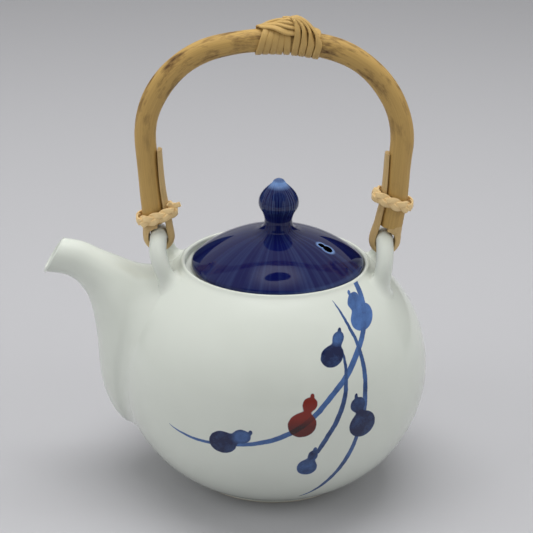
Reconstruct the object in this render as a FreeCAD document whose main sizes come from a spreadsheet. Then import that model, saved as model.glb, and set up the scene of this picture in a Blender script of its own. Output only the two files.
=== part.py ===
import FreeCAD, Part
import math
import operator
import os
from types import SimpleNamespace

import Sketcher

# Porcelain teapot with a swinging cane handle. Millimetres, +Z up, spout towards -X.
# The origin is the middle of the foot ring, on the surface that the pot stands on.

# Driving dimensions: lengths in millimetres, angles in degrees.
SIZES = {
    # Pot body, a turned shell whose side is one arc from the foot to the rim
    "belly_radius": 75.0,
    "belly_curve": 62.0,
    "pot_wall": 4.0,
    "foot_radius": 44.0,
    "foot_height": 3.3,
    "foot_width": 4.5,
    "foot_recess": 5.0,
    "floor_thick": 4.0,
    "mouth_radius": 43.2,
    "lip_width": 2.3,
    "lip_bend": 1.27,
    "seat_depth": 2.4,
    "seat_thick": 5.0,
    "neck_radius": 36.5,
    "port_radius": 13.0,
    "port_rise": 5.0,
    # Pierced dome inside the pot, over the port
    "strainer_radius": 18.0,
    "strainer_sink": 5.0,
    "strainer_wall": 2.4,
    "strainer_hole": 1.5,
    "strainer_ring": 4.6,
    # Spout walls
    "spout_wall": 3.0,
    "mouth_wall": 2.2,
    "mouth_past": 1.1,
    # Lid and its knob
    "lid_gap": 1.7,
    "lid_clearance": 0.25,
    "lid_edge": 2.4,
    "lid_edge_round": 1.0,
    "lid_rise": 16.4,
    "lid_wall": 3.5,
    "flange_gap": 0.6,
    "flange_depth": 8.0,
    "flange_thick": 3.0,
    "vent_reach": 27.0,
    "vent_bearing": 24.0,
    "vent_large": 2.3,
    "vent_small": 1.6,
    "vent_step": 3.2,
    "knob_foot_radius": 8.6,
    "knob_neck_radius": 6.6,
    "knob_neck_height": 6.0,
    "knob_neck_bend": 5.4,
    "knob_bulb_radius": 9.6,
    "knob_bulb_height": 13.4,
    "knob_bulb_bend": 12.4,
    "knob_crest_radius": 3.5,
    "knob_crest_height": 23.2,
    "knob_tip_rise": 2.7,
    # Lugs, arched bars that stand on the shoulder
    "lug_setback": 8.3,
    "lug_bar": 4.1,
    "lug_arch": 15.0,
    "lug_rise": 4.4,
    "lug_leg": 15.0,
    "lug_foot_radius": 6.6,
    "lug_foot_lean": 4.0,
    "lug_foot_spread": 2.2,
    # Handle cane, bent to an arch, with its shaved ends looped through the lugs
    "handle_shift": -1.9,
    "cane_radius": 5.5,
    "cane_end_gap": 1.6,
    "leg_lean": 4.5,
    "leg_length": 39.0,
    "shoulder_bend": 45.0,
    "crown_bend": 100.0,
    "loop_clearance": 0.4,
    "loop_drop": 1.0,
    "tongue_thick": 3.2,
    "tongue_width": 8.0,
    "tongue_length": 43.4,
    "tongue_gap": 0.2,
    # Plaited rings that tie the tongues to the cane
    "left_binding_rise": 10.4,
    "right_binding_rise": 18.7,
    "binding_tilt": 19.0,
    "binding_band": 5.4,
    "binding_room_drop": 8.0,
    "binding_thick": 2.1,
    "binding_slack": 0.5,
    "binding_cane_gap": 0.15,
    "binding_corner": 4.2,
    "binding_round": 1.5,
    # Strip wound round the crown, and the bundle of strips over it
    "strip_diameter": 1.8,
    "strip_gap": 0.3,
    "winding_start": -8.0,
    "winding_pitch": 3.4,
    "winding_squeeze": 0.2,
    "bundle_width": 9.0,
    "bundle_left": 8.5,
    "bundle_right": 17.0,
    "bundle_peak_reach": 8.0,
    "bundle_peak": 4.2,
    "bundle_left_bend": 34.0,
    "bundle_right_bend": 17.0,
    "bundle_edge": 0.6,
}

WINDING_LOOPS = 9

# Numbers of holes in the strainer's rings, from the innermost ring outwards
STRAINER_HOLE_COUNTS = (6, 12)

# Rings along a lug's leg: share of its length and share of its flare
LUG_LEG_RINGS = {"top": (0.0, 0.0), "middle": (0.5, 0.3), "foot": (1.0, 1.0)}

# Spout stations from the mouth to the root: reach beyond the belly, rise above the
# widest height, tilt of the section from upright, half depth and half width.
SPOUT_FIELDS = ("reach", "rise", "tilt", "half_depth", "half_width")
SPOUT_STATIONS = {
    "mouth": (32.0, 54.6, 30.7, 9.6, 8.0),
    "beak": (21.8, 53.1, 27.7, 9.1, 8.4),
    "neck": (14.2, 48.9, 31.3, 9.8, 9.6),
    "throat": (6.9, 42.2, 33.8, 13.2, 12.5),
    "breast": (0.7, 31.4, 30.8, 20.7, 18.0),
    "skirt": (-4.7, 15.5, 21.5, 33.9, 24.0),
    "root": (-15.2, 5.0, 17.2, 39.8, 26.0),
    "heel": (-29.0, -3.0, 12.0, 34.0, 24.0),
}
for station, numbers in SPOUT_STATIONS.items():
    for field, number in zip(SPOUT_FIELDS, numbers):
        SIZES[f"spout_{station}_{field}"] = number

UP = FreeCAD.Vector(0, 0, 1)
LEFT = 1
RIGHT = -1

# A turn that takes the axes round by one, so that Z lies along X
AXES_TURN = FreeCAD.Vector(1, 1, 1)
AXES_ANGLE = 120

doc = FreeCAD.newDocument("teapot")
sheet = doc.addObject("Spreadsheet::Sheet", "sizes")
for row, (name, number) in enumerate(SIZES.items(), 1):
    sheet.set(f"A{row}", name)
    sheet.set(f"B{row}", str(number))
    sheet.setAlias(f"B{row}", name)
doc.recompute()


# Sizes that carry both a number and the sheet formula behind it

OPERATIONS = {"+": operator.add, "-": operator.sub, "*": operator.mul, "/": operator.truediv}


class Size:
    """A number together with the sheet formula that gives it."""

    def __init__(self, number, formula):
        self.number = number
        self.formula = formula

    def __add__(self, other):
        return joined(self, "+", other)

    def __radd__(self, other):
        return joined(other, "+", self)

    def __sub__(self, other):
        return joined(self, "-", other)

    def __rsub__(self, other):
        return joined(other, "-", self)

    def __mul__(self, other):
        return joined(self, "*", other)

    def __rmul__(self, other):
        return joined(other, "*", self)

    def __truediv__(self, other):
        return joined(self, "/", other)


def as_size(value):
    if isinstance(value, Size):
        return value
    return Size(float(value), f"({value})")


def joined(first, sign, second):
    first = as_size(first)
    second = as_size(second)
    number = OPERATIONS[sign](first.number, second.number)
    return Size(number, f"({first.formula} {sign} {second.formula})")


def root(size):
    return Size(math.sqrt(size.number), f"sqrt({size.formula})")


def sine(angle):
    return Size(math.sin(math.radians(angle.number)), f"sin({angle.formula})")


def cosine(angle):
    return Size(math.cos(math.radians(angle.number)), f"cos({angle.formula})")


def bind(item, name, size):
    item.setExpression(name, as_size(size).formula)


size = SimpleNamespace(**{name: Size(number, f"sizes.{name}") for name, number in SIZES.items()})
ZERO = Size(0.0, "0")


# Sketches and solids

def new_body(label):
    body = doc.addObject("PartDesign::Body", label)
    body.Label = label
    return body


def origin_plane(body, role):
    return next(plane for plane in body.Origin.OriginFeatures if plane.Role == role)


def new_sketch(body, name, role):
    sketch = body.newObject("Sketcher::SketchObject", name)
    sketch.AttachmentSupport = [(origin_plane(body, role), "")]
    sketch.MapMode = "FlatFace"
    return sketch


def pin_distance(sketch, kind, axis, curve, end, size):
    if size is ZERO:
        sketch.addConstraint(Sketcher.Constraint("PointOnObject", curve, end, axis))
        return
    tie = sketch.addConstraint(Sketcher.Constraint(kind, -1, 1, curve, end, size.number))
    bind(sketch, f"Constraints[{tie}]", size)


def pin_point(sketch, curve, end, point):
    pin_distance(sketch, "DistanceX", -2, curve, end, point[0])
    pin_distance(sketch, "DistanceY", -1, curve, end, point[1])


def pin_radius(sketch, curve, radius):
    tie = sketch.addConstraint(Sketcher.Constraint("Radius", curve, radius.number))
    bind(sketch, f"Constraints[{tie}]", radius)


def flat(point):
    return FreeCAD.Vector(point[0].number, point[1].number, 0)


def short_arc(begin, end, radius):
    """The arc of under half a circle from begin to end, turning left."""
    chord = end - begin
    side = FreeCAD.Vector(-chord.y, chord.x, 0).normalize()
    centre = (begin + end) * 0.5 + side * math.sqrt(radius ** 2 - (chord.Length / 2) ** 2)
    first = math.atan2(begin.y - centre.y, begin.x - centre.x)
    last = math.atan2(end.y - centre.y, end.x - centre.x)
    return Part.ArcOfCircle(Part.Circle(centre, UP, radius), first, last)


def draw_path(sketch, start, steps):
    """Draws lines and arcs from start through each step's end, all tied to the sheet.

    A step is (x, y) for a line, or (x, y, radius, turn) for an arc.
    """
    here = start
    before = None
    for step in steps:
        there = step[:2]
        if len(step) == 2:
            curve = sketch.addGeometry(Part.LineSegment(flat(here), flat(there)), False)
            first, last = 1, 2
        elif step[3] == LEFT:
            curve = sketch.addGeometry(short_arc(flat(here), flat(there), step[2].number), False)
            first, last = 1, 2
        else:
            curve = sketch.addGeometry(short_arc(flat(there), flat(here), step[2].number), False)
            first, last = 2, 1
        if before:
            sketch.addConstraint(Sketcher.Constraint("Coincident", *before, curve, first))
        pin_point(sketch, curve, first, here)
        if len(step) == 4:
            pin_radius(sketch, curve, step[2])
        before = (curve, last)
        here = there
    return before, here


def draw_outline(sketch, start, steps):
    """A closed path, with a straight last side back to the start."""
    before, _ = draw_path(sketch, start, steps + [start])
    starts_backwards = len(steps[0]) == 4 and steps[0][3] == RIGHT
    sketch.addConstraint(Sketcher.Constraint("Coincident", *before, 0, 2 if starts_backwards else 1))


def draw_circle(sketch, centre, radius):
    curve = sketch.addGeometry(Part.Circle(flat(centre), UP, radius.number), False)
    pin_point(sketch, curve, 3, centre)
    pin_radius(sketch, curve, radius)


def turned(label, start, steps):
    """A body turned about the Z axis from an outline of radius and height."""
    body = new_body(label)
    sketch = new_sketch(body, label + "_outline", "XZ_Plane")
    draw_outline(sketch, start, steps)
    spun = body.newObject("PartDesign::Revolution", label + "_turned")
    spun.Profile = sketch
    spun.ReferenceAxis = (sketch, ["V_Axis"])
    spun.Angle = 360
    return body


def padded(label, plane, start, steps, length):
    """A body padded evenly to both sides of an origin plane."""
    body = new_body(label)
    sketch = new_sketch(body, label + "_outline", plane)
    draw_outline(sketch, start, steps)
    pad = body.newObject("PartDesign::Pad", label + "_pad")
    pad.Profile = sketch
    pad.SideType = "Symmetric"
    bind(pad, "Length", length)
    doc.recompute()
    return body, pad


def pocket_circle(body, name, plane, centre, radius, length, reverse):
    sketch = new_sketch(body, name + "_circle", plane)
    draw_circle(sketch, centre, radius)
    pocket = body.newObject("PartDesign::Pocket", name)
    pocket.Profile = sketch
    pocket.Reversed = reverse
    bind(pocket, "Length", length)
    before = pocket.BaseFeature.Shape.Volume
    doc.recompute()
    if pocket.Shape.Volume >= before:
        raise ValueError(name + " cuts nothing")


def primitive(kind, label, **sizes):
    item = doc.addObject(kind, label)
    for name, number in sizes.items():
        bind(item, name, number)
    return item


def place(item, x, y, z, axis=UP, angle=ZERO):
    item.Placement = FreeCAD.Placement(FreeCAD.Vector(), FreeCAD.Rotation(axis, angle.number))
    if angle is not ZERO:
        bind(item, "Placement.Rotation.Angle", angle)
    bind(item, "Placement.Base.x", x)
    bind(item, "Placement.Base.y", y)
    bind(item, "Placement.Base.z", z)
    return item


def cut(label, base, tool):
    item = doc.addObject("Part::Cut", label)
    item.Base = base
    item.Tool = tool
    return item


def fused(label, items):
    item = doc.addObject("Part::MultiFuse", label)
    item.Shapes = items
    return item


def lofted(label, sections):
    item = doc.addObject("Part::Loft", label)
    item.Sections = sections
    item.Solid = True
    return item


# Heights and radii that several pieces share

belly_centre = size.belly_radius - size.belly_curve
foot_offset = size.foot_radius - belly_centre
belly_height = size.foot_height + root(size.belly_curve * size.belly_curve - foot_offset * foot_offset)
inner_curve = size.belly_curve - size.pot_wall


def side_height(radius):
    """Height at which the upper half of the pot's outside has a radius."""
    offset = radius - belly_centre
    return belly_height + root(size.belly_curve * size.belly_curve - offset * offset)


def inside_radius(height):
    """Radius of the pot's inside at a height."""
    offset = height - belly_height
    return belly_centre + root(inner_curve * inner_curve - offset * offset)


rim_radius = size.mouth_radius + size.lip_width
rim_height = side_height(rim_radius)
seat_height = rim_height - size.seat_depth
ledge_height = seat_height - size.seat_thick
floor_height = size.foot_recess + size.floor_thick
foot_inside = size.foot_radius - size.foot_width
port_height = belly_height + size.port_rise

lug_reach = rim_radius + size.lug_setback
hinge_height = side_height(lug_reach) + size.lug_rise
bar_height = hinge_height + size.lug_arch
loop_radius = size.lug_bar + size.loop_clearance

cane_end_reach = lug_reach + loop_radius + size.tongue_thick - size.cane_radius
cane_end_height = bar_height + loop_radius + size.cane_end_gap
lean_sine = sine(size.leg_lean)
lean_cosine = cosine(size.leg_lean)


# Pot

def make_pot_body():
    ledge_radius = inside_radius(ledge_height)
    body = turned("pot_body", (foot_inside, ZERO), [
        (size.foot_radius, ZERO),
        (size.foot_radius, size.foot_height),
        (rim_radius, rim_height, size.belly_curve, LEFT),
        (size.mouth_radius, rim_height, size.lip_bend, LEFT),
        (size.mouth_radius, seat_height),
        (size.neck_radius, seat_height),
        (size.neck_radius, ledge_height),
        (ledge_radius, ledge_height),
        (inside_radius(floor_height), floor_height, inner_curve, RIGHT),
        (ZERO, floor_height),
        (ZERO, size.foot_recess),
        (foot_inside, size.foot_recess),
    ])
    doc.recompute()
    pocket_circle(body, "port", "YZ_Plane", (ZERO, port_height), size.port_radius,
                  size.belly_radius + size.pot_wall, False)
    return body


def make_pot_form():
    """The pot's outside as a full solid, which the spout and the lugs are trimmed to."""
    return turned("pot_form", (ZERO, ZERO), [
        (size.foot_radius, ZERO),
        (size.foot_radius, size.foot_height),
        (rim_radius, rim_height, size.belly_curve, LEFT),
        (ZERO, rim_height),
    ])


def make_cavity_form():
    """The pot's inside as a full solid, which the strainer is trimmed to."""
    return turned("cavity_form", (ZERO, floor_height), [
        (inside_radius(floor_height), floor_height),
        (inside_radius(ledge_height), ledge_height, inner_curve, LEFT),
        (ZERO, ledge_height),
    ])


def spout_section(station, wall, out, suffix):
    """One oval across the spout, drawn in by the wall and moved out along its own normal."""
    reach, rise, tilt, half_depth, half_width = (
        getattr(size, f"spout_{station}_{field}") for field in SPOUT_FIELDS)
    oval = primitive("Part::Ellipse", f"spout_{station}_{suffix}",
                     MajorRadius=half_depth - wall, MinorRadius=half_width - wall)
    x = -1 * (size.belly_radius + reach + out * cosine(tilt))
    z = belly_height + rise + out * sine(tilt)
    return place(oval, x, ZERO, z, FreeCAD.Vector(0, -1, 0), 90 - tilt)


def make_spout(pot_form):
    outside = lofted("spout_form", [spout_section(station, ZERO, ZERO, "outside")
                                    for station in SPOUT_STATIONS])
    channel = lofted("spout_channel", [
        spout_section("mouth", size.mouth_wall, size.mouth_past, "inside")
        if station == "mouth" else spout_section(station, size.spout_wall, ZERO, "inside")
        for station in SPOUT_STATIONS])
    tube = cut("spout_tube", outside, channel)
    return cut("spout", tube, pot_form), outside


def make_strainer(cavity_form):
    wall_reach = inside_radius(port_height)
    x = -1 * (wall_reach + size.strainer_sink)
    outer = primitive("Part::Sphere", "strainer_outer", Radius=size.strainer_radius)
    inner = primitive("Part::Sphere", "strainer_inner", Radius=size.strainer_radius - size.strainer_wall)
    place(outer, x, ZERO, port_height)
    place(inner, x, ZERO, port_height)
    dome = doc.addObject("Part::MultiCommon", "strainer_dome")
    dome.Shapes = [cut("strainer_shell", outer, inner), cavity_form]
    spots = [(0, 0.0)]
    for ring, count in enumerate(STRAINER_HOLE_COUNTS, 1):
        spots += [(ring, 2 * math.pi * step / count) for step in range(count)]
    drills = []
    for index, (ring, turn) in enumerate(spots):
        drill = primitive("Part::Cylinder", f"strainer_drill_{index}", Radius=size.strainer_hole,
                          Height=size.strainer_radius + size.strainer_wall)
        y = size.strainer_ring * (ring * math.cos(turn))
        z = port_height + size.strainer_ring * (ring * math.sin(turn))
        drills.append(place(drill, x, y, z, FreeCAD.Vector(0, 1, 0), as_size(90)))
    return cut("strainer", dome, fused("strainer_drills", drills))


def make_lug(side, pot_form, spout_form):
    """An arched bar, half a ring about the handle's swing axis, on two flared legs."""
    label = "left_lug" if side < 0 else "right_lug"
    x = side * lug_reach + size.handle_shift
    arch = primitive("Part::Torus", label + "_arch", Radius1=size.lug_arch, Radius2=size.lug_bar)
    arch.Angle3 = 180
    place(arch, x, ZERO, hinge_height, AXES_TURN, as_size(AXES_ANGLE))
    parts = [arch]
    for end, way in (("front", -1), ("back", 1)):
        rings = []
        for step, (share, flare) in LUG_LEG_RINGS.items():
            radius = size.lug_bar + (size.lug_foot_radius - size.lug_bar) * flare
            ring = primitive("Part::Circle", f"{label}_{end}_{step}", Radius=radius)
            rings.append(place(ring, x - side * share * size.lug_foot_lean,
                               way * (size.lug_arch + flare * size.lug_foot_spread),
                               hinge_height - share * size.lug_leg))
        parts.append(lofted(f"{label}_{end}_leg", rings))
    blank = fused(label + "_blank", parts)
    if side < 0:
        return cut(label, cut(label + "_seated", blank, pot_form), spout_form)
    return cut(label, blank, pot_form)


# Lid

lid_radius = size.mouth_radius - size.lid_gap
lid_base = seat_height + size.lid_clearance
lid_edge_top = lid_base + size.lid_edge
lid_apex = lid_edge_top + size.lid_rise
dome_bend = (lid_radius * lid_radius + size.lid_rise * size.lid_rise) / (2 * size.lid_rise)
flange_radius = size.neck_radius - size.flange_gap
flange_inside = flange_radius - size.flange_thick
flange_base = seat_height - size.flange_depth


def dome_height(radius, wall):
    """Height of the lid's dome, or of its underside one wall below, at a radius."""
    bend = dome_bend - wall
    return lid_apex - dome_bend + root(bend * bend - radius * radius)


knob_base = dome_height(size.knob_foot_radius, ZERO)


def make_lid():
    body = turned("lid", (flange_inside, flange_base), [
        (flange_radius, flange_base),
        (flange_radius, lid_base),
        (lid_radius - size.lid_edge_round, lid_base),
        (lid_radius, lid_base + size.lid_edge_round, size.lid_edge_round, LEFT),
        (lid_radius, lid_edge_top),
        (size.knob_foot_radius, knob_base, dome_bend, LEFT),
        (ZERO, knob_base),
        (ZERO, lid_apex - size.lid_wall),
        (flange_inside, dome_height(flange_inside, size.lid_wall), dome_bend - size.lid_wall, RIGHT),
    ])
    doc.recompute()
    along = cosine(size.vent_bearing)
    across = sine(size.vent_bearing)
    for name, reach, radius in (("vent_large_hole", size.vent_reach, size.vent_large),
                                ("vent_small_hole", size.vent_reach - size.vent_step, size.vent_small)):
        pocket_circle(body, name, "XY_Plane", (reach * along, -1 * (reach * across)), radius,
                      lid_apex + size.lid_wall, True)
    return body


def make_knob():
    neck_height = knob_base + size.knob_neck_height
    bulb_height = knob_base + size.knob_bulb_height
    crest_height = knob_base + size.knob_crest_height
    tip_rise = size.knob_tip_rise
    crest = size.knob_crest_radius
    tip_bend = (crest * crest + tip_rise * tip_rise) / (2 * tip_rise)
    return turned("lid_knob", (ZERO, knob_base), [
        (size.knob_foot_radius, knob_base),
        (size.knob_neck_radius, neck_height, size.knob_neck_bend, RIGHT),
        (size.knob_bulb_radius, bulb_height, size.knob_bulb_bend, LEFT),
        (crest, crest_height, size.knob_bulb_bend, LEFT),
        (ZERO, crest_height + tip_rise, tip_bend, LEFT),
    ])


# Handle, drawn about its own middle and moved to the lugs

leg_top_reach = cane_end_reach + size.leg_length * lean_sine
leg_top_height = cane_end_height + size.leg_length * lean_cosine
shoulder_reach = leg_top_reach - size.shoulder_bend * lean_cosine
shoulder_height = leg_top_height + size.shoulder_bend * lean_sine
bend_change = size.crown_bend - size.shoulder_bend
crown_centre = shoulder_height - root(bend_change * bend_change - shoulder_reach * shoulder_reach)
crown_height = crown_centre + size.crown_bend
bend_ratio = size.crown_bend / bend_change
crown_end_reach = shoulder_reach * bend_ratio
crown_end_height = crown_centre + (shoulder_height - crown_centre) * bend_ratio

loop_height = bar_height - size.loop_drop
tongue_inner = lug_reach - loop_radius
tongue_end_height = loop_height + size.tongue_length
tongue_end_rise = (tongue_end_height - cane_end_height) * lean_sine / lean_cosine
tongue_end = cane_end_reach + tongue_end_rise - size.cane_radius / lean_cosine - size.tongue_gap

binding_heights = {-1: bar_height + size.left_binding_rise, 1: bar_height + size.right_binding_rise}


def make_cane():
    """Half the arch is drawn along its bent path from the crown, then mirrored."""
    body = new_body("handle_cane")
    spine = new_sketch(body, "cane_path", "XZ_Plane")
    last, end = draw_path(spine, (ZERO, crown_height), [
        (crown_end_reach, crown_end_height, size.crown_bend, RIGHT),
        (leg_top_reach, leg_top_height, size.shoulder_bend, RIGHT),
        (cane_end_reach, cane_end_height),
    ])
    pin_point(spine, *last, end)
    section = new_sketch(body, "cane_section", "YZ_Plane")
    draw_circle(section, (ZERO, crown_height), size.cane_radius)
    pipe = body.newObject("PartDesign::AdditivePipe", "cane_half")
    pipe.Profile = section
    pipe.Spine = (spine, ["Edge1", "Edge2", "Edge3"])
    doc.recompute()
    arch = body.newObject("PartDesign::Mirrored", "cane_arch")
    arch.Originals = [pipe]
    arch.MirrorPlane = (origin_plane(body, "YZ_Plane"), [""])
    body.Tip = arch
    bind(body, "Placement.Base.x", size.handle_shift)
    return body


def make_tongue(side):
    """The shaved cane end: down outside the lug's bar, under it and up beside the cane."""
    label = "left_cane_tongue" if side < 0 else "right_cane_tongue"
    bend = size.tongue_thick + loop_radius
    under = RIGHT if side > 0 else LEFT
    over = LEFT if side > 0 else RIGHT
    scoop_slope = (cane_end_reach - lug_reach) * lean_sine / lean_cosine
    points = [
        (lug_reach, cane_end_height + scoop_slope),
        (lug_reach, bar_height + loop_radius),
        (lug_reach + loop_radius, bar_height, loop_radius, under),
        (lug_reach + loop_radius, loop_height),
        (lug_reach, loop_height - loop_radius, loop_radius, under),
        (tongue_inner, loop_height, loop_radius, under),
        (tongue_end, tongue_end_height),
        (tongue_end - size.tongue_thick, tongue_end_height),
        (tongue_inner - size.tongue_thick, loop_height),
        (lug_reach, loop_height - bend, bend, over),
        (lug_reach + bend, loop_height, bend, over),
        (cane_end_reach + size.cane_radius * lean_cosine,
         cane_end_height - size.cane_radius * lean_sine),
    ]
    steps = [(side * step[0],) + tuple(step[1:]) for step in points]
    body, _ = padded(label, "XZ_Plane", steps[0], steps[1:], size.tongue_width)
    bind(body, "Placement.Base.x", size.handle_shift)
    return body


def make_binding(side):
    """A tilted ring round the cane and the tongue beside it."""
    label = "left_binding" if side < 0 else "right_binding"
    inward = -side
    height = binding_heights[side]
    cane = cane_end_reach + (height - cane_end_height) * lean_sine / lean_cosine
    share = (height - loop_height) / size.tongue_length
    tongue = tongue_inner + (tongue_end - tongue_inner) * share - size.tongue_thick
    around = size.cane_radius + size.binding_thick
    end = cane - tongue + size.binding_thick
    corner = size.binding_corner
    first = RIGHT if side < 0 else LEFT
    steps = [
        (ZERO, around),
        (-1 * inward * around, ZERO, around, -first),
        (ZERO, -1 * around, around, -first),
        (inward * (end - corner), -1 * around),
        (inward * end, corner - around, corner, -first),
        (inward * end, around - corner),
        (inward * (end - corner), around, corner, -first),
    ]
    body, pad = padded(label + "_band", "XY_Plane", steps[0], steps[1:], size.binding_band)
    round_over = body.newObject("PartDesign::Fillet", label + "_round")
    edges = [f"Edge{index}" for index, edge in enumerate(pad.Shape.Edges, 1)
             if edge.BoundBox.ZLength < 0.001]
    round_over.Base = (pad, edges)
    bind(round_over, "Radius", size.binding_round)
    x = side * cane + size.handle_shift
    upright = FreeCAD.Vector(0, side, 0)
    place(body, x, ZERO, height, upright, size.binding_tilt)
    room = primitive("Part::Cylinder", label + "_cane_room", Height=size.leg_length,
                     Radius=size.cane_radius + size.binding_cane_gap)
    room_reach = cane_end_reach - size.binding_room_drop * lean_sine / lean_cosine
    place(room, side * room_reach + size.handle_shift, ZERO, cane_end_height - size.binding_room_drop,
          upright, size.leg_lean)
    width = size.tongue_width + size.binding_slack
    depth = cane - tongue + size.binding_slack
    slot = primitive("Part::Box", label + "_tongue_room", Length=depth, Width=width,
                     Height=size.leg_length)
    place(slot, x if side < 0 else x - depth, width * -0.5, cane_end_height)
    return cut(label, body, fused(label + "_room", [room, slot]))


def joint_arc(begin, along, end):
    """The arc that leaves begin in the direction along and reaches end."""
    chord = end - begin
    half = along.getAngle(chord)
    straight = FreeCAD.Vector(chord).normalize()
    side = (along - straight * along.dot(straight)).normalize()
    middle = (begin + end) * 0.5 + side * (chord.Length * 0.5 * math.tan(half * 0.5))
    return Part.Arc(begin, middle, end).toShape()


def biarc(begin, leaving, end, arriving):
    """Two tangent arcs from begin to end with the directions given there."""
    chord = end - begin
    spread = 2 * (1 - leaving.dot(arriving))
    along = chord.dot(leaving + arriving)
    reach = (math.sqrt(along ** 2 + 2 * spread * chord.dot(chord) * 0.5) - along) / spread
    middle = (begin + end + (leaving - arriving) * reach) * 0.5
    return [joint_arc(begin, leaving, middle), joint_arc(end, arriving * -1, middle)]


def winding_point(turns):
    """A point on the winding's middle line, after a number of turns from the underside."""
    pitch = size.winding_pitch.number
    middle = size.winding_start.number + pitch * WINDING_LOOPS / 2
    tube = size.strip_diameter.number / 2
    around = size.cane_radius.number + size.strip_gap.number + tube
    angle = 2 * math.pi * turns
    squeeze = 1 - size.winding_squeeze.number * (1 - math.cos(angle)) / 2
    along = middle + (size.winding_start.number + pitch * turns - middle) * squeeze
    bearing = along / size.crown_bend.number
    out = size.crown_bend.number - around * math.cos(angle)
    return FreeCAD.Vector(out * math.sin(bearing), -around * math.sin(angle),
                          crown_centre.number + out * math.cos(bearing))


def winding_direction(turns):
    step = 0.001
    return (winding_point(turns + step) - winding_point(turns - step)).normalize()


def least_gap(path, diameter, apart):
    """Least clear distance of a tube to itself, between points at least apart along it."""
    points = [point for edge in path.Edges for point in edge.discretize(Distance=diameter / 3)]
    along = [0.0]
    for first, second in zip(points, points[1:]):
        along.append(along[-1] + (second - first).Length)
    gaps = [(first - points[there]).Length
            for here, first in enumerate(points)
            for there in range(here + 1, len(points)) if along[there] - along[here] > apart]
    return min(gaps) - diameter


def make_winding():
    """One unbroken strip, wound round the crown in quarter turns."""
    diameter = size.strip_diameter.number
    edges = []
    quarters = WINDING_LOOPS * 4
    for quarter in range(quarters):
        begin, end = quarter / 4, (quarter + 1) / 4
        edges += biarc(winding_point(begin), winding_direction(begin),
                       winding_point(end), winding_direction(end))
    first, last = winding_point(0), winding_point(WINDING_LOOPS)
    lead = winding_direction(0) * diameter
    tail = winding_direction(WINDING_LOOPS) * diameter
    edges = [Part.makeLine(first - lead, first)] + edges + [Part.makeLine(last, last + tail)]
    path = Part.Wire(Part.sortEdges(edges)[0])
    section = Part.Wire(Part.Circle(first - lead, winding_direction(0), diameter / 2).toShape())
    tube = path.makePipeShell([section], True, False)
    around = 2 * math.pi * size.cane_radius.number
    print("winding: least gap to itself %.2f mm" % least_gap(path, diameter, around / 2))
    expected = math.pi * diameter ** 2 / 4 * path.Length
    print("winding: volume %.1f, section times length %.1f" % (tube.Volume, expected))
    item = doc.addObject("Part::Feature", "crown_winding")
    item.Shape = tube
    bind(item, "Placement.Base.x", size.handle_shift)
    return item


def make_bundle():
    """A hump of crossing strips that lies along the top of the winding."""
    under = size.crown_bend + size.cane_radius + size.strip_diameter + size.strip_gap * 2
    left = -1 * size.bundle_left
    right = size.bundle_right

    def under_height(reach):
        return crown_centre + root(under * under - reach * reach)

    peak = under_height(size.bundle_peak_reach) + size.bundle_peak
    body, pad = padded("crown_bundle", "XZ_Plane", (left, under_height(left)), [
        (right, under_height(right), under, RIGHT),
        (right, under_height(right) + size.bundle_edge),
        (size.bundle_peak_reach, peak, size.bundle_right_bend, LEFT),
        (left, under_height(left) + size.bundle_edge, size.bundle_left_bend, LEFT),
    ], size.bundle_width)
    bind(body, "Placement.Base.x", size.handle_shift)
    return body


def main():
    pot_form = make_pot_form()
    cavity_form = make_cavity_form()
    doc.recompute()
    spout, spout_form = make_spout(pot_form)
    nodes = [make_pot_body(), spout, make_strainer(cavity_form),
             make_lug(-1, pot_form, spout_form), make_lug(1, pot_form, spout_form),
             make_lid(), make_knob(), make_cane()]
    for side in (-1, 1):
        nodes += [make_tongue(side), make_binding(side)]
    nodes += [make_winding(), make_bundle()]
    doc.recompute()

    for item in doc.Objects:
        if "Invalid" in item.State or "Error" in item.State:
            raise RuntimeError(item.Label + " failed")
    for node in nodes:
        if node.Shape.isNull() or not node.Shape.isValid():
            raise RuntimeError(node.Label + " has no sound shape")

    os.makedirs("parts", exist_ok=True)
    for node in nodes:
        node.Shape.exportStep(os.path.join("parts", node.Label + ".step"))
        print("%-18s %d solid, %.0f mm3" % (node.Label, len(node.Shape.Solids), node.Shape.Volume))


main()
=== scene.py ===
import math

import bmesh
import bpy
from bpy.props import FloatProperty, FloatVectorProperty, IntProperty, PointerProperty
from bpy.types import Operator, Panel, PropertyGroup
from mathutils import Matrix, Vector


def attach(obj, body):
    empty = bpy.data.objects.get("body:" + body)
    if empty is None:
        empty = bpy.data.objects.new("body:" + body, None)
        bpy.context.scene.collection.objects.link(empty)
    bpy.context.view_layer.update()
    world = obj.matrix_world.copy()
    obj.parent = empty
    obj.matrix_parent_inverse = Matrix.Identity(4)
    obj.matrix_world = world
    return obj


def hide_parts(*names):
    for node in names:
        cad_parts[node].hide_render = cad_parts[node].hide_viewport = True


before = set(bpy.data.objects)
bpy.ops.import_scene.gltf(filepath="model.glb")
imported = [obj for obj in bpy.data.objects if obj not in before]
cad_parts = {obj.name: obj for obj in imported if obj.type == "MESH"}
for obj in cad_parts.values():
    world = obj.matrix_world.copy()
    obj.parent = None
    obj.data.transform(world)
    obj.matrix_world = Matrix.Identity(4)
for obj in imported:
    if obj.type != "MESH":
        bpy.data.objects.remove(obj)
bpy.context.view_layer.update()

bl_info = {
    "name": "Cane-Handled Teapot",
    "version": (1, 0, 0),
    "blender": (4, 5, 0),
    "location": "View3D > Sidebar > Teapot",
    "description": "Painted porcelain, cobalt lid and wrapped cane handle on a solid frame",
    "category": "Object",
}

MM = 0.001

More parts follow.
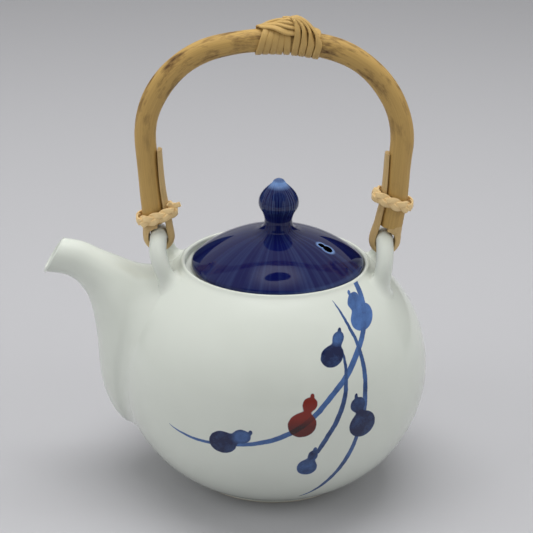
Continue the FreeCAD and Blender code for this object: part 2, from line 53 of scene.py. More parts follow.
# Pot, in metres: the side is an arc of BELLY_CURVE about a ring at BELLY_CENTRE and BELLY_HEIGHT
BELLY_CENTRE = 0.013
BELLY_HEIGHT = 0.05699
BELLY_CURVE = 0.062
POT_WALL = 0.004
FOOT_RADIUS = 0.0405
FOOT_INSIDE = 0.0362
FOOT_RECESS = 0.005
FLOOR_HEIGHT = 0.009
RIM_RADIUS = 0.0455
RIM_HEIGHT = 0.10979
MOUTH_RADIUS = 0.0432
SEAT_HEIGHT = 0.10739
NECK_RADIUS = 0.0365
LEDGE_HEIGHT = 0.10239
POT_EDGE = 0.7 * MM
FOOT_HOLLOW = 2 * MM
RECESS_RING = 0.02
FLOOR_RADIUS = 0.035
FLOOR_BEND = 0.043
FLOOR_BEND_RISE = 0.4 * MM
POT_STEPS = 160
# Port behind the spout: middle and length of the cut through the wall
PORT_PLACE = -0.07
PORT_HEIGHT = 0.06199
PORT_RADIUS = 0.013
PORT_DEPTH = 0.03

# Spout stations from the root to the mouth, in millimetres and degrees: distance from the
# pot's axis, height, tilt of the section from upright, half depth and half width
SPOUT_STATIONS = (
    (46.0, 54.0, 12.0, 34.0, 24.0),
    (59.8, 62.0, 17.2, 39.8, 26.0),
    (70.3, 72.5, 21.5, 33.9, 24.0),
    (75.7, 88.4, 30.8, 20.7, 18.0),
    (81.9, 99.2, 33.8, 13.2, 12.5),
    (89.2, 105.9, 31.3, 9.8, 9.6),
    (96.8, 110.1, 27.7, 9.1, 8.4),
    (107.0, 111.6, 30.7, 9.6, 8.0),
)
SPOUT_CORNERS = 72
SPOUT_STEPS = 9
# Rounding of the lip, the wall and how much thinner it is at the mouth, all in millimetres
SPOUT_LIP = 1.2
SPOUT_WALL = 3.0
SPOUT_WALL_THINS = 0.6
# Share by which the fillet grows on the spout's upper side
UPPER_FILLET = 0.6
# The channel ends in the pot's wall: the depth that all of its last ring passes, and its deepest
CHANNEL_END = 0.6 * MM
CHANNEL_SINK = 1.0 * MM

# Lugs, in metres: half rings about the handle's swing axis, on two legs that flare
HANDLE_SHIFT = -0.0019
LUG_REACH = 0.0538
HINGE_HEIGHT = 0.10807
LUG_ARCH = 0.015
LUG_BAR = 0.0041
LUG_LEG = 0.015
LUG_LEANS = (0.0108, 0.0035)
LUG_SPREAD = 0.0022
LUG_FLARE = 1.2 * MM
BAR_HEIGHT = HINGE_HEIGHT + LUG_ARCH
# Shares of the arch: the bar's upright top and the drop over which it leans, and the lean's bend
UPRIGHT_DROP = 0.3
LEAN_DROP = 1.7
LEAN_BEND = 1.2
LUG_CORNERS = 40

# Lid and knob outline, in millimetres
LID_DOME_BEND = 62.3
LID_DOME_CENTRE = 126.44 - LID_DOME_BEND
LID_RADIUS = 41.5
LID_SHIFT = 1.2
LID_EDGE = 2.6
LID_WALL = 3.5
LID_BASE = ((38.5, 107.62), (40.8, 107.64))
LID_STEPS = 128
# Flange below the lid: radius inside the dome, then the middle and radius of each rounded corner
FLANGE_INSIDE = 32.2
FLANGE_CORNERS = ((33.4, 100.1), (34.3, 100.1))
FLANGE_CORNER = 0.7
FLANGE_ROOT = (35.5, 107.1)
FLANGE_ROOT_BEND = 0.5
# Knob from its foot on the dome up to its tip, as radius and height
KNOB_FOOT = 12.0
KNOB_CLEAR = 13.0
KNOB_OUTLINE = (
    (10.0, 126.0), (8.2, 126.9), (7.1, 128.6), (6.65, 131.0), (7.0, 133.4), (8.0, 135.8), (9.1, 137.6),
    (9.6, 139.6), (9.35, 142.0), (8.3, 144.3), (6.7, 146.4), (4.9, 148.2), (3.55, 149.4), (2.95, 150.3),
    (2.3, 151.2), (1.2, 151.8), (0.0, 152.0),
)
# The two overlapping holes of the vent, as place and radius
VENTS = ((24.67, -10.98, 2.3), (21.74, -9.68, 1.6))
VENT_HEIGHT = 118.0
VENT_DEPTH = 20.0

# Handle, in millimetres about its own middle
CANE_RADIUS = 5.5
CROWN_BEND = 100.0
CROWN_CENTRE = 118.44
SHOULDER_BEND = 45.0
SHOULDER_CENTRE = (14.2, 171.58)
LEG_LEAN = math.radians(4.5)
CANE_END = (56.0, 129.17)
LOOP_HEIGHT = 122.07
LOOP_RADIUS = 4.5
LOOP_THICK = 3.1
TONGUE_TOP = (53.55, 165.3)
PLAIT_HEIGHTS = (132.5, 141.8)

# The cane is peeled a little thinner than it grew, and more so low on the left leg
CANE_PEEL = 0.15
CANE_SLIM = 0.4
SLIM_FROM = 190.0
SLIM_OVER = 30.0
CANE_CORNERS = 40
# Unevenness of the cane: height, length along it for one radian, waves round it and start in radians
CANE_WAVES = ((0.10, 11.0, 0, 1.3), (0.08, 4.7, 2, 0.0), (0.06, 17.0, -1, 0.0))

# Tongues: a slice starts at the cane's end with two stations of flat side, round side and half width.
# Then come half widths and thickness beside the lug, round the loop and up to the top, with what each
# loses on the way
TONGUE_START = (((56.6, 133.4), (60.6, 133.4), 3.6), ((54.4, 129.6), (61.2, 129.6), 5.1))
TONGUE_OUTSIDE = 61.42
TONGUE_OUTSIDE_LEAN = 0.006
CANE_HALF, CANE_HALF_LOSS = 5.5, 0.07
LOOP_HALF, LOOP_HALF_LOSS = 4.6, 0.04
TONGUE_HALF, TONGUE_HALF_LOSS = 3.95, 0.55
TONGUE_BOW = 0.7
TONGUE_THICK, TONGUE_THICK_LOSS = 3.2, 1.0
TONGUE_RISE = 0.2
TONGUE_SHAVE = 0.1
TONGUE_CORNERS = 36
# Metres of grain between the two tongues
GRAIN_GAP = 0.31

# How far each leg strays from the even arch, as (height, distance to the right) in millimetres
LEFT_STRAY = ((112, 0.0), (128, -0.1), (150, -0.7), (178, -0.6), (205, 0.0))
RIGHT_STRAY = ((112, 0.2), (124, 0.3), (132, 1.2), (142, 1.7), (168, 1.0), (205, 0.0))

POT = "pot"
LID = "lid"
HANDLE = "handle"


def linear(code):
    """An sRGB hex colour as the linear numbers that shaders take."""
    channels = [int(code[place:place + 2], 16) / 255 for place in (1, 3, 5)]
    return tuple(c / 12.92 if c <= 0.04045 else ((c + 0.055) / 1.055) ** 2.4 for c in channels)


def length(name, description, default):
    return FloatProperty(name=name, description=description, default=default, min=0.0,
                         unit="LENGTH", precision=5)


def colour(name, description, code):
    return FloatVectorProperty(name=name, description=description, default=linear(code),
                               size=3, min=0.0, max=1.0, subtype="COLOR")


class TeapotSizes(PropertyGroup):
    """Sizes of the visible pieces, in metres."""
    spout_fillet: length("Spout fillet", "Reach of the glazed hollow where the spout meets the pot", 0.009)
    lug_fillet: length("Lug fillet", "Reach of the glazed hollow at a lug's foot", 0.0055)
    strip_width: length("Strip width", "Width of the flat strip wound round the crown", 0.0030)
    strip_thick: length("Strip thickness", "Thickness of the flat strip wound round the crown", 0.0010)
    plait_width: length("Plait strand width", "Width of one strand of a plaited ring", 0.0030)
    plait_thick: length("Plait strand thickness", "Thickness of one strand of a plaited ring", 0.0011)
    plait_turns: IntProperty(name="Plait repeats", description="Full repeats of the plait in a ring",
                             default=3, min=1)


class TeapotColours(PropertyGroup):
    """Colours of the visible pieces."""
    porcelain: colour("Porcelain", "Clear glaze over white porcelain", "#dadfd6")
    biscuit: colour("Biscuit", "Bare porcelain on the foot", "#d9d2c2")
    brush_blue: colour("Brush blue", "Thin wash of the painted blue", "#4f76b4")
    brush_navy: colour("Brush navy", "Full load of the painted blue", "#0e1a44")
    brush_red: colour("Brush red", "Iron red of the painted gourd", "#7c2216")
    brush_rust: colour("Brush rust", "Iron red where it pools or crosses a stem", "#301013")
    cobalt: colour("Cobalt glaze", "Blue glaze where it lies thick", "#0b1048")
    # Vent: painted shade, a near-black colour laid on the walls of the vent holes for the shade inside them
    cobalt_thin: colour("Thin cobalt glaze", "Blue glaze where it runs thin on edges", "#7fa3dc")
    vent: colour("Vent", "Dark inside of the lid's vent", "#07070d")
    cane: colour("Cane", "Peeled cane", "#c4a05c")
    shaved: colour("Shaved cane", "Shaved ends of the cane", "#d3b47c")
    cane_dark: colour("Scorched cane", "Scorched and stained cane", "#5b3d1d")
    strip: colour("Strip", "Split rattan strip round the crown", "#c2a061")
    strand: colour("Strand", "Paler rattan of the plaited rings", "#f2d39c")
    floor: colour("Floor", "Floor and backdrop", "#bababd")
    card: colour("Card", "Black card beside the lamps", "#1a1a1a")


# Shapes in edit mode

def pot_distance(point):
    """How far a point lies outside the pot's side."""
    across = math.hypot(point.x, point.y) - BELLY_CENTRE
    return math.hypot(across, point.z - BELLY_HEIGHT) - BELLY_CURVE


def onto_pot(point, sink=0.0):
    """The nearest place on the pot's side, or below its surface by sink."""
    radius = math.hypot(point.x, point.y)
    across, up = radius - BELLY_CENTRE, point.z - BELLY_HEIGHT
    scale = (BELLY_CURVE - sink) / math.hypot(across, up)
    share = (BELLY_CENTRE + across * scale) / radius
    return Vector((point.x * share, point.y * share, BELLY_HEIGHT + up * scale))


def through(marks, steps, closed=False):
    """A smooth run of numbers or vectors through the marks, with steps to each span."""
    count = len(marks)
    spans = count if closed else count - 1
    run = []
    for span in range(spans):
        if closed:
            a, b, c, d = (marks[(span + shift) % count] for shift in (-1, 0, 1, 2))
        else:
            a, b, c, d = (marks[min(max(span + shift, 0), count - 1)] for shift in (-1, 0, 1, 2))
        for step in range(steps):
            t = step / steps
            run.append(b + (c - a) * (0.5 * t) + (a * 2 - b * 5 + c * 4 - d) * (0.5 * t * t)
                       + (b * 3 - a - c * 3 + d) * (0.5 * t ** 3))
    if not closed:
        run.append(marks[-1].copy())
    return run


def move_selected(piece, points):
    shape = bmesh.from_edit_mesh(piece.data)
    for corner, point in zip([corner for corner in shape.verts if corner.select], points):
        corner.co = point
    bmesh.update_edit_mesh(piece.data)


def select_where(piece, test):
    """Selects the corners that pass the test, and the edges and faces between them."""
    bpy.ops.mesh.select_all(action="DESELECT")
    shape = bmesh.from_edit_mesh(piece.data)
    shape.verts.index_update()
    for corner in shape.verts:
        corner.select = test(corner)
    shape.select_flush(True)
    bmesh.update_edit_mesh(piece.data)


def first_ring(name, points):
    """Adds a circle with a corner for each point, moves the corners there and stays in edit mode."""
    bpy.ops.object.select_all(action="DESELECT")
    bpy.ops.mesh.primitive_circle_add(vertices=len(points), radius=MM, location=(0, 0, 0))
    piece = bpy.context.object
    piece.name = piece.data.name = name
    bpy.ops.object.mode_set(mode="EDIT")
    bpy.ops.mesh.select_mode(type="VERT")
    bpy.ops.mesh.select_all(action="SELECT")
    move_selected(piece, points)
    return piece


def drawn_out(name, rings, closed=False):
    """A tube extruded ring by ring, with its ends filled or joined to each other."""
    piece = first_ring(name, rings[0])
    for ring in rings[1:]:
        bpy.ops.mesh.extrude_edges_indiv()
        move_selected(piece, ring)
    count = len(rings[0])
    total = count * len(rings)
    if closed:
        select_where(piece, lambda corner: corner.index < count or corner.index >= total - count)
        bpy.ops.mesh.bridge_edge_loops()
    else:
        bpy.ops.mesh.edge_face_add()
        select_where(piece, lambda corner: corner.index < count)
        bpy.ops.mesh.edge_face_add()
    bpy.ops.mesh.select_all(action="SELECT")
    bpy.ops.mesh.normals_make_consistent(inside=False)
    return piece


def turned(name, outline, steps):
    """A shape spun about the pot's axis from an outline that starts and ends on the axis."""
    piece = first_ring(name, [Vector((radius, 0, height)) for radius, height in outline])
    last = len(outline) - 1
    select_where(piece, lambda corner: corner.index in (0, last))
    bpy.ops.mesh.delete(type="EDGE_FACE")
    bpy.ops.mesh.select_all(action="SELECT")
    bpy.ops.mesh.spin(steps=steps, angle=2 * math.pi, center=(0, 0, 0), axis=(0, 0, 1))
    bpy.ops.mesh.select_all(action="SELECT")
    bpy.ops.mesh.remove_doubles(threshold=0.005 * MM)
    bpy.ops.mesh.normals_make_consistent(inside=False)
    return piece


def arc(centre, radius, first, last, steps):
    """Points of radius and height along an arc, with the angles in degrees."""
    angles = [math.radians(first + (last - first) * step / steps) for step in range(steps + 1)]
    return [(centre[0] + radius * math.cos(a), centre[1] + radius * math.sin(a)) for a in angles]


def set_aside():
    """Leaves edit mode with nothing selected."""
    bpy.ops.object.mode_set(mode="OBJECT")
    bpy.ops.object.select_all(action="DESELECT")


def pick(piece):
    """Leaves edit mode with only this piece selected and active."""
    set_aside()
    piece.select_set(True)
    bpy.context.view_layer.objects.active = piece


def keep_marks(piece, name, marks):
    """Stores a vector at each corner for the material to read."""
    bpy.ops.object.mode_set(mode="OBJECT")
    layer = piece.data.attributes.new(name, "FLOAT_VECTOR", "POINT")
    layer.data.foreach_set("vector", [number for mark in marks for number in mark])


# Edges sharper than this many degrees stay sharp, on glazed pieces and on cane and strips
GLAZE_CREASE = 40
SOFT_CREASE = 50


def settle(piece, material, body, nodes, crease=GLAZE_CREASE):
    """Leaves edit mode, gives the piece its shading, finish and body, and hides the parts it stands for."""
    pick(piece)
    bpy.ops.object.shade_smooth_by_angle(angle=math.radians(crease))
    piece.data.materials.clear()
    piece.data.materials.append(material)
    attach(piece, body)
    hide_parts(*nodes)


def hollow(piece, tool):
    """Cuts one shape out of another and removes the cutter."""
    pick(piece)
    cutter = piece.modifiers.new("cut", "BOOLEAN")
    cutter.operation = "DIFFERENCE"
    cutter.solver = "EXACT"
    cutter.object = tool
    bpy.ops.object.modifier_apply(modifier=cutter.name)
    bpy.data.objects.remove(tool, do_unlink=True)


def spread(line, count):
    """Points spaced evenly along a line of points."""
    along = [0.0]
    for first, second in zip(line, line[1:]):
        along.append(along[-1] + (second - first).length)
    points = []
    place = 0
    for step in range(count):
        here = along[-1] * step / (count - 1)
        while place < len(line) - 2 and along[place + 1] < here:
            place += 1
        share = (here - along[place]) / max(along[place + 1] - along[place], 1e-9)
        points.append(line[place].lerp(line[place + 1], min(share, 1.0)))
    return points


# The glaze runs out past a foot's fillet by this share of the reach, and sinks into the pot
FOOT_RUN = 1.2
FOOT_SINK = 0.1 * MM
RUN_SINK = 0.4 * MM
RIM_ROOM = 0.5 * MM
LEAST_REACH = 0.8 * MM


def glazed_foot(rings, reach, steps=8):
    """Rings of a tube that ends inside the pot, with a hollow fillet laid onto the pot's side.

    reach gives the fillet's reach for each corner of a ring; it is less beside the rim.
    """
    count = len(rings[0])
    ends, creases = [], []
    for corner in range(count):
        line = [ring[corner] for ring in rings]
        end = next(place for place, point in enumerate(line) if pot_distance(point) < 0)
        rise, fall = pot_distance(line[end - 1]), pot_distance(line[end])
        ends.append(end)
        creases.append(line[end - 1].lerp(line[end], rise / (rise - fall)))
    middle = sum(creases, Vector()) / count
    uppers, feet = [], []
    for corner, crease in enumerate(creases):
        along = creases[(corner + 1) % count] - creases[corner - 1]
        out = (onto_pot(crease) - onto_pot(crease, MM)).cross(along).normalized()
        if out.dot(crease - middle) < 0:
            out.negate()
        radius = math.hypot(crease.x, crease.y)
        inward = -(out.x * crease.x + out.y * crease.y) / radius
        room = (radius - RIM_RADIUS - RIM_ROOM) / max(inward, 0.05) / FOOT_RUN
        far = min(reach[corner], max(room, LEAST_REACH))
        upper = [ring[corner] for ring in rings[:ends[corner]] if (ring[corner] - crease).length > far]
        upper.append(crease + (upper[-1] - crease).normalized() * far)
        uppers.append(spread(upper, len(rings)))
        feet.append((onto_pot(crease + out * far, FOOT_SINK),
                     onto_pot(crease + out * (FOOT_RUN * far), RUN_SINK)))
    made = [list(ring) for ring in zip(*uppers)]
    for step in range(1, steps + 1):
        t = step / steps
        made.append([upper[-1] * (1 - t) ** 2 + crease * (2 * t * (1 - t)) + foot[0] * t ** 2
                     for upper, crease, foot in zip(uppers, creases, feet)])
    made.append([foot[1] for foot in feet])
    return made


# Pieces

def sizes():
    return bpy.context.scene.teapot_sizes


def colours():
    return bpy.context.scene.teapot_colours


class MakePot(Operator):
    """Turns the porcelain pot: foot, belly, lip, lid seat and inside"""
    bl_idname = "teapot.pot"
    bl_label = "Pot"

    def execute(self, context):
        inner = BELLY_CURVE - POT_WALL
        bottom = math.degrees(-math.acos((FOOT_RADIUS - BELLY_CENTRE) / BELLY_CURVE))
        top = math.degrees(math.asin((RIM_HEIGHT - BELLY_HEIGHT) / BELLY_CURVE))
        inner_top = math.degrees(math.asin((LEDGE_HEIGHT - BELLY_HEIGHT) / inner))
        inner_bottom = math.degrees(math.asin((FLOOR_HEIGHT - BELLY_HEIGHT) / inner))
        side = (BELLY_CENTRE, BELLY_HEIGHT)
        lip = (RIM_RADIUS - MOUTH_RADIUS) / 2
        edge = POT_EDGE
        hollow_centre = FOOT_INSIDE - FOOT_HOLLOW
        outline = [(0.0, FOOT_RECESS), (RECESS_RING, FOOT_RECESS), (hollow_centre, FOOT_RECESS)]
        outline += arc((hollow_centre, FOOT_RECESS - FOOT_HOLLOW), FOOT_HOLLOW, 90, 0, 6)
        outline += arc((FOOT_INSIDE + edge, edge), edge, 180, 270, 5)
        outline += arc((FOOT_RADIUS - edge, edge), edge, 270, 360, 5)
        outline += arc(side, BELLY_CURVE, bottom, top - 1.0, 90)
        outline += arc((MOUTH_RADIUS + lip, RIM_HEIGHT), lip, 20, 180, 10)
        outline += arc((MOUTH_RADIUS - edge, SEAT_HEIGHT + edge), edge, 0, -90, 5)
        outline += arc((NECK_RADIUS + edge, SEAT_HEIGHT - edge), edge, 90, 180, 5)
        outline += arc((NECK_RADIUS + edge, LEDGE_HEIGHT + edge), edge, 180, 270, 5)
        outline += arc(side, inner, inner_top, inner_bottom + 6, 60)
        outline += [(FLOOR_BEND, FLOOR_HEIGHT + FLOOR_BEND_RISE), (FLOOR_RADIUS, FLOOR_HEIGHT),
                    (0.0, FLOOR_HEIGHT)]
        pot = turned("porcelain_pot", outline, POT_STEPS)
        set_aside()
        bpy.ops.mesh.primitive_cylinder_add(vertices=48, radius=PORT_RADIUS, depth=PORT_DEPTH,
                                            location=(PORT_PLACE, 0, PORT_HEIGHT),
                                            rotation=(0, math.pi / 2, 0))
        hollow(pot, context.object)
        settle(pot, porcelain(), POT, ["pot_body"])
        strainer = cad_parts["strainer"]
        strainer.data.materials.clear()
        strainer.data.materials.append(porcelain())
        return {"FINISHED"}


def spout_ring(station, wall, out, corners):
    """One oval across the spout, drawn in by the wall and moved out along its own normal."""
    tilt = math.radians(station[2])
    along = Vector((math.sin(tilt), 0, math.cos(tilt)))
    normal = Vector((-math.cos(tilt), 0, math.sin(tilt)))
    middle = Vector((-station[0], 0, station[1])) + normal * out
    turns = [2 * math.pi * corner / corners for corner in range(corners)]
    return [(middle + along * ((station[3] - wall) * math.cos(turn))
             + Vector((0, (station[4] - wall) * math.sin(turn), 0))) * MM for turn in turns]


class MakeSpout(Operator):
    """Draws out the spout from its mouth to a fillet on the pot, and hollows it"""
    bl_idname = "teapot.spout"
    bl_label = "Spout"

    def execute(self, context):
        corners = SPOUT_CORNERS
        rim = SPOUT_LIP
        thin = SPOUT_WALL - SPOUT_WALL_THINS
        stations = through([Vector(station) for station in reversed(SPOUT_STATIONS)], SPOUT_STEPS)
        outside = [spout_ring(station, 0.0, 0.0, corners) for station in stations]
        upper = [max(0.0, math.cos(2 * math.pi * corner / corners)) for corner in range(corners)]
        reach = [sizes().spout_fillet * (1.0 + UPPER_FILLET * share) for share in upper]
        walls = glazed_foot(outside, reach)
        lip = [spout_ring(stations[0], rim * (1 - math.cos(turn)), rim * math.sin(turn) - rim, corners)
               for turn in (math.pi * step / 10 for step in range(1, 11))]
        depths = [min(1.0, place / SPOUT_STEPS) for place in range(1, len(stations))]
        channel = [spout_ring(station, thin + SPOUT_WALL_THINS * depth, -rim, corners)
                   for depth, station in zip(depths, stations[1:])]
        last = next(place for place, ring in enumerate(channel)
                    if all(pot_distance(point) < -CHANNEL_END for point in ring))
        inside = [[point if pot_distance(point) > -CHANNEL_SINK else onto_pot(point, CHANNEL_SINK)
                   for point in ring] for ring in channel[:last + 1]]
        walls[0] = spout_ring(stations[0], 0.0, -rim, corners)
        rings = list(reversed(inside)) + list(reversed(lip)) + walls
        spout = drawn_out("porcelain_spout", rings, closed=True)
        settle(spout, porcelain(), POT, ["spout"])
        return {"FINISHED"}


class MakeLugs(Operator):
    """Pulls the two arched lugs, each on two feet that run out on the shoulder"""
    bl_idname = "teapot.lugs"
    bl_label = "Lugs"

    def execute(self, context):
        for side, name, solid, lean in ((-1, "porcelain_lug_left", "left_lug", LUG_LEANS[0]),
                                        (1, "porcelain_lug_right", "right_lug", LUG_LEANS[1])):
            self.make_lug(side, name, solid, lean)
        return {"FINISHED"}

    def make_lug(self, side, name, solid, lean):
        """Half of a lug from the bar's top to a front foot, and its mirror image to the back."""
        half = []
        for step in range(17):
            turn = math.pi / 2 * (1 - step / 16)
            half.append((-LUG_ARCH * math.cos(turn), HINGE_HEIGHT + LUG_ARCH * math.sin(turn), LUG_BAR))
        for step in range(1, 13):
            share = step / 10
            half.append((-LUG_ARCH - share ** 2 * LUG_SPREAD, HINGE_HEIGHT - share * LUG_LEG,
                         LUG_BAR + LUG_FLARE * share ** 2))
        path = []
        for y, z, _ in half:
            # The bar stays upright under the handle's loop and leans below it
            drop = max(BAR_HEIGHT - z - UPRIGHT_DROP * LUG_ARCH, 0) / (LEAN_DROP * LUG_ARCH)
            path.append(Vector((side * (LUG_REACH - lean * drop ** LEAN_BEND) + HANDLE_SHIFT, y, z)))
        rings = []
        for place, (middle, (_, _, radius)) in enumerate(zip(path, half)):
            ahead = path[min(place + 1, len(path) - 1)]
            along = (ahead - path[place - 1]).normalized() if place else Vector((0, -1, 0))
            over = Vector((1, 0, 0)) - along * along.x
            over.normalize()
            aside = along.cross(over)
            turns = [2 * math.pi * corner / LUG_CORNERS for corner in range(LUG_CORNERS)]
            rings.append([middle + (over * math.cos(turn) + aside * math.sin(turn)) * radius
                          for turn in turns])
        front = glazed_foot(rings, [sizes().lug_fillet] * LUG_CORNERS)
        back = [[Vector((point.x, -point.y, point.z)) for point in ring] for ring in front]
        lug = drawn_out(name, list(reversed(front)) + back[1:])
        settle(lug, porcelain(), POT, [solid])


class MakeLid(Operator):
    """Turns the lid with its onion knob, and pierces the vent"""
    bl_idname = "teapot.lid"
    bl_label = "Lid"

    def execute(self, context):
        dome = (0.0, LID_DOME_CENTRE)
        under = LID_DOME_BEND - LID_WALL
        edge_bend = LID_DOME_BEND - LID_EDGE
        edge_radius = LID_RADIUS - LID_EDGE
        edge = (edge_radius, LID_DOME_CENTRE + math.sqrt(edge_bend ** 2 - edge_radius ** 2))
        rim = math.degrees(math.acos(edge_radius / edge_bend))
        foot = math.degrees(math.asin(KNOB_CLEAR / LID_DOME_BEND))
        inside = math.degrees(math.asin(FLANGE_INSIDE / under))
        outline = [(0.0, LID_DOME_CENTRE + under)]
        outline += arc(dome, under, 88, 90 - inside, 24)
        for centre, first in zip(FLANGE_CORNERS, (180, 270)):
            outline += arc(centre, FLANGE_CORNER, first, first + 90, 4)
        outline += arc(FLANGE_ROOT, FLANGE_ROOT_BEND, 180, 90, 4)
        outline += LID_BASE
        outline += arc(edge, LID_EDGE, -22, rim, 12)
        outline += arc(dome, LID_DOME_BEND, rim + 0.8, 90 - foot, 44)
        knob_foot = (KNOB_FOOT, LID_DOME_CENTRE + math.sqrt(LID_DOME_BEND ** 2 - KNOB_FOOT ** 2))
        knob = [Vector((*mark, 0)) for mark in (knob_foot, *KNOB_OUTLINE)]
        outline += [(point.x, point.y) for point in through(knob, 5)[1:]]
        lid = turned("cobalt_lid", [(radius * MM, height * MM) for radius, height in outline], LID_STEPS)
        bpy.ops.mesh.select_all(action="SELECT")
        bpy.ops.transform.translate(value=(LID_SHIFT * MM, 0, 0))
        for x, y, radius in VENTS:
            set_aside()
            bpy.ops.mesh.primitive_cylinder_add(vertices=32, radius=radius * MM, depth=VENT_DEPTH * MM,
                                                location=(x * MM, y * MM, VENT_HEIGHT * MM))
            hollow(lid, context.object)
        settle(lid, cobalt_glaze(), LID, ["lid", "lid_knob"])
        return {"FINISHED"}


def stray(side, height):
    """How far a leg strays to the right at a height, in millimetres."""
    marks = LEFT_STRAY if side < 0 else RIGHT_STRAY
    for (low, first), (high, last) in zip(marks, marks[1:]):
        if height < high:
            share = min(max((height - low) / (high - low), 0), 1)
            return first + (last - first) * share * share * (3 - 2 * share)
    return 0.0


def cane_path():
    """Points and directions of the cane's middle line from the left end to the right, in metres."""
    crown_turn = math.asin(SHOULDER_CENTRE[0] / (CROWN_BEND - SHOULDER_BEND))
    half = []
    for step in range(16):
        turn = crown_turn * step / 16
        half.append((CROWN_BEND * math.sin(turn), CROWN_CENTRE + CROWN_BEND * math.cos(turn), turn))
    last_turn = math.pi / 2 + LEG_LEAN
    for step in range(36):
        turn = crown_turn + (last_turn - crown_turn) * step / 36
        half.append((SHOULDER_CENTRE[0] + SHOULDER_BEND * math.sin(turn),
                     SHOULDER_CENTRE[1] + SHOULDER_BEND * math.cos(turn), turn))
    top = (SHOULDER_CENTRE[0] + SHOULDER_BEND * math.cos(LEG_LEAN),
           SHOULDER_CENTRE[1] - SHOULDER_BEND * math.sin(LEG_LEAN))
    for step in range(27):
        share = step / 26
        half.append((top[0] + (CANE_END[0] - top[0]) * share,
                     top[1] + (CANE_END[1] - top[1]) * share, last_turn))
    path = [(-x, z, -turn) for x, z, turn in reversed(half[1:])] + half
    return [(Vector(((x + stray(x, z)) * MM + HANDLE_SHIFT, 0, z * MM)),
             Vector((math.cos(turn), 0, -math.sin(turn)))) for x, z, turn in path]


class MakeCane(Operator):
    """Draws out the bent cane with its slight unevenness"""
    bl_idname = "teapot.cane"
    bl_label = "Cane"

    def execute(self, context):
        rings, marks = [], []
        along = 0.0
        before = None
        for middle, ahead in cane_path():
            if before is not None:
                along += (middle - before).length
            before = middle
            over = Vector((0, 1, 0)).cross(ahead)
            low = min(max((SLIM_FROM * MM - middle.z) / (SLIM_OVER * MM), 0), 1)
            slim = CANE_SLIM * low if middle.x < 0 else 0.0
            ring = []
            for corner in range(CANE_CORNERS):
                turn = 2 * math.pi * corner / CANE_CORNERS
                wave = sum(height * math.sin(along / (span * MM) + around * turn + start)
                           for height, span, around, start in CANE_WAVES)
                radius = (CANE_RADIUS - CANE_PEEL - slim + wave) * MM
                ring.append(middle + (over * math.cos(turn) + Vector((0, math.sin(turn), 0))) * radius)
                marks.append((along, radius * math.cos(turn), radius * math.sin(turn)))
            rings.append(ring)
        cane = drawn_out("bent_cane", rings)
        keep_marks(cane, "grain", marks)
        settle(cane, bent_cane(), HANDLE, ["handle_cane"], crease=SOFT_CREASE)
        return {"FINISHED"}


def slice_ring(flat, outer, half):
    """A slice of cane: flat towards flat, round towards outer, and no wider than twice half."""
    across = outer - flat
    thick = across.length
    across.normalize()
    radius = CANE_RADIUS * MM - TONGUE_SHAVE * MM
    low = thick / 2
    offset = low - (thick - radius)
    ring = []
    for corner in range(TONGUE_CORNERS):
        turn = 2 * math.pi * (corner + 0.5) / TONGUE_CORNERS
        up, side = math.cos(turn), math.sin(turn)
        reach = -offset * up + math.sqrt(max(offset ** 2 * up ** 2 - offset ** 2 + radius ** 2, 0))
        if up < 0:
            reach = min(reach, low / -up)
        if abs(side) > 1e-6:
            reach = min(reach, half / abs(side))
        ring.append(flat + across * (low + up * reach) + Vector((0, side * reach, 0)))
    return ring


class MakeTongues(Operator):
    """Shaves the cane's ends into tongues that loop under the lugs and lie beside the cane"""
    bl_idname = "teapot.tongues"
    bl_label = "Cane tongues"

    def execute(self, context):
        for side, name, solid in ((-1, "cane_tongue_left", "left_cane_tongue"),
                                  (1, "cane_tongue_right", "right_cane_tongue")):
            self.make_tongue(side, name, solid)
        return {"FINISHED"}

    def make_tongue(self, side, name, solid):
        """Slices of cane from its end down round the lug's bar and up on the inner side."""
        bar = LUG_REACH / MM
        high, low = BAR_HEIGHT / MM, LOOP_HEIGHT
        bend = LOOP_RADIUS + LOOP_THICK
        stations = list(TONGUE_START)
        for step in range(9):
            turn = math.radians(86 - 86 * step / 8)
            flat = (bar + LOOP_RADIUS * math.cos(turn), high + LOOP_RADIUS * math.sin(turn))
            outer = (TONGUE_OUTSIDE + TONGUE_OUTSIDE_LEAN * step, flat[1])
            stations.append((flat, outer, CANE_HALF - CANE_HALF_LOSS * step))
        for step in range(17):
            turn = math.radians(-180 * step / 16)
            flat = (bar + LOOP_RADIUS * math.cos(turn), low + LOOP_RADIUS * math.sin(turn))
            outer = (bar + bend * math.cos(turn), low + bend * math.sin(turn))
            stations.append((flat, outer, LOOP_HALF - LOOP_HALF_LOSS * step))
        start = (bar - LOOP_RADIUS, low)
        for step in range(1, 25):
            share = step / 24
            flat = (start[0] + (TONGUE_TOP[0] - start[0]) * share + TONGUE_BOW * math.sin(math.pi * share),
                    start[1] + (TONGUE_TOP[1] - start[1]) * share)
            outer = (flat[0] - TONGUE_THICK + TONGUE_THICK_LOSS * share, flat[1] + TONGUE_RISE)
            stations.append((flat, outer, TONGUE_HALF - TONGUE_HALF_LOSS * share))
        rings, marks = [], []
        along = 0.0
        before = None
        for flat, outer, half in stations:
            aside = stray(side, flat[1])
            here = Vector(((side * flat[0] + aside) * MM + HANDLE_SHIFT, 0, flat[1] * MM))
            there = Vector(((side * outer[0] + aside) * MM + HANDLE_SHIFT, 0, outer[1] * MM))
            if before is not None:
                along += (here - before).length
            before = here
            ring = slice_ring(here, there, half * MM)
            rings.append(ring)
            # The two tongues read different stretches of the grain
            marks += [(along + GRAIN_GAP * side, (point - here).length, point.y) for point in ring]
        tongue = drawn_out(name, rings)
        keep_marks(tongue, "grain", marks)
        settle(tongue, shaved_cane(), HANDLE, [solid], crease=SOFT_CREASE)


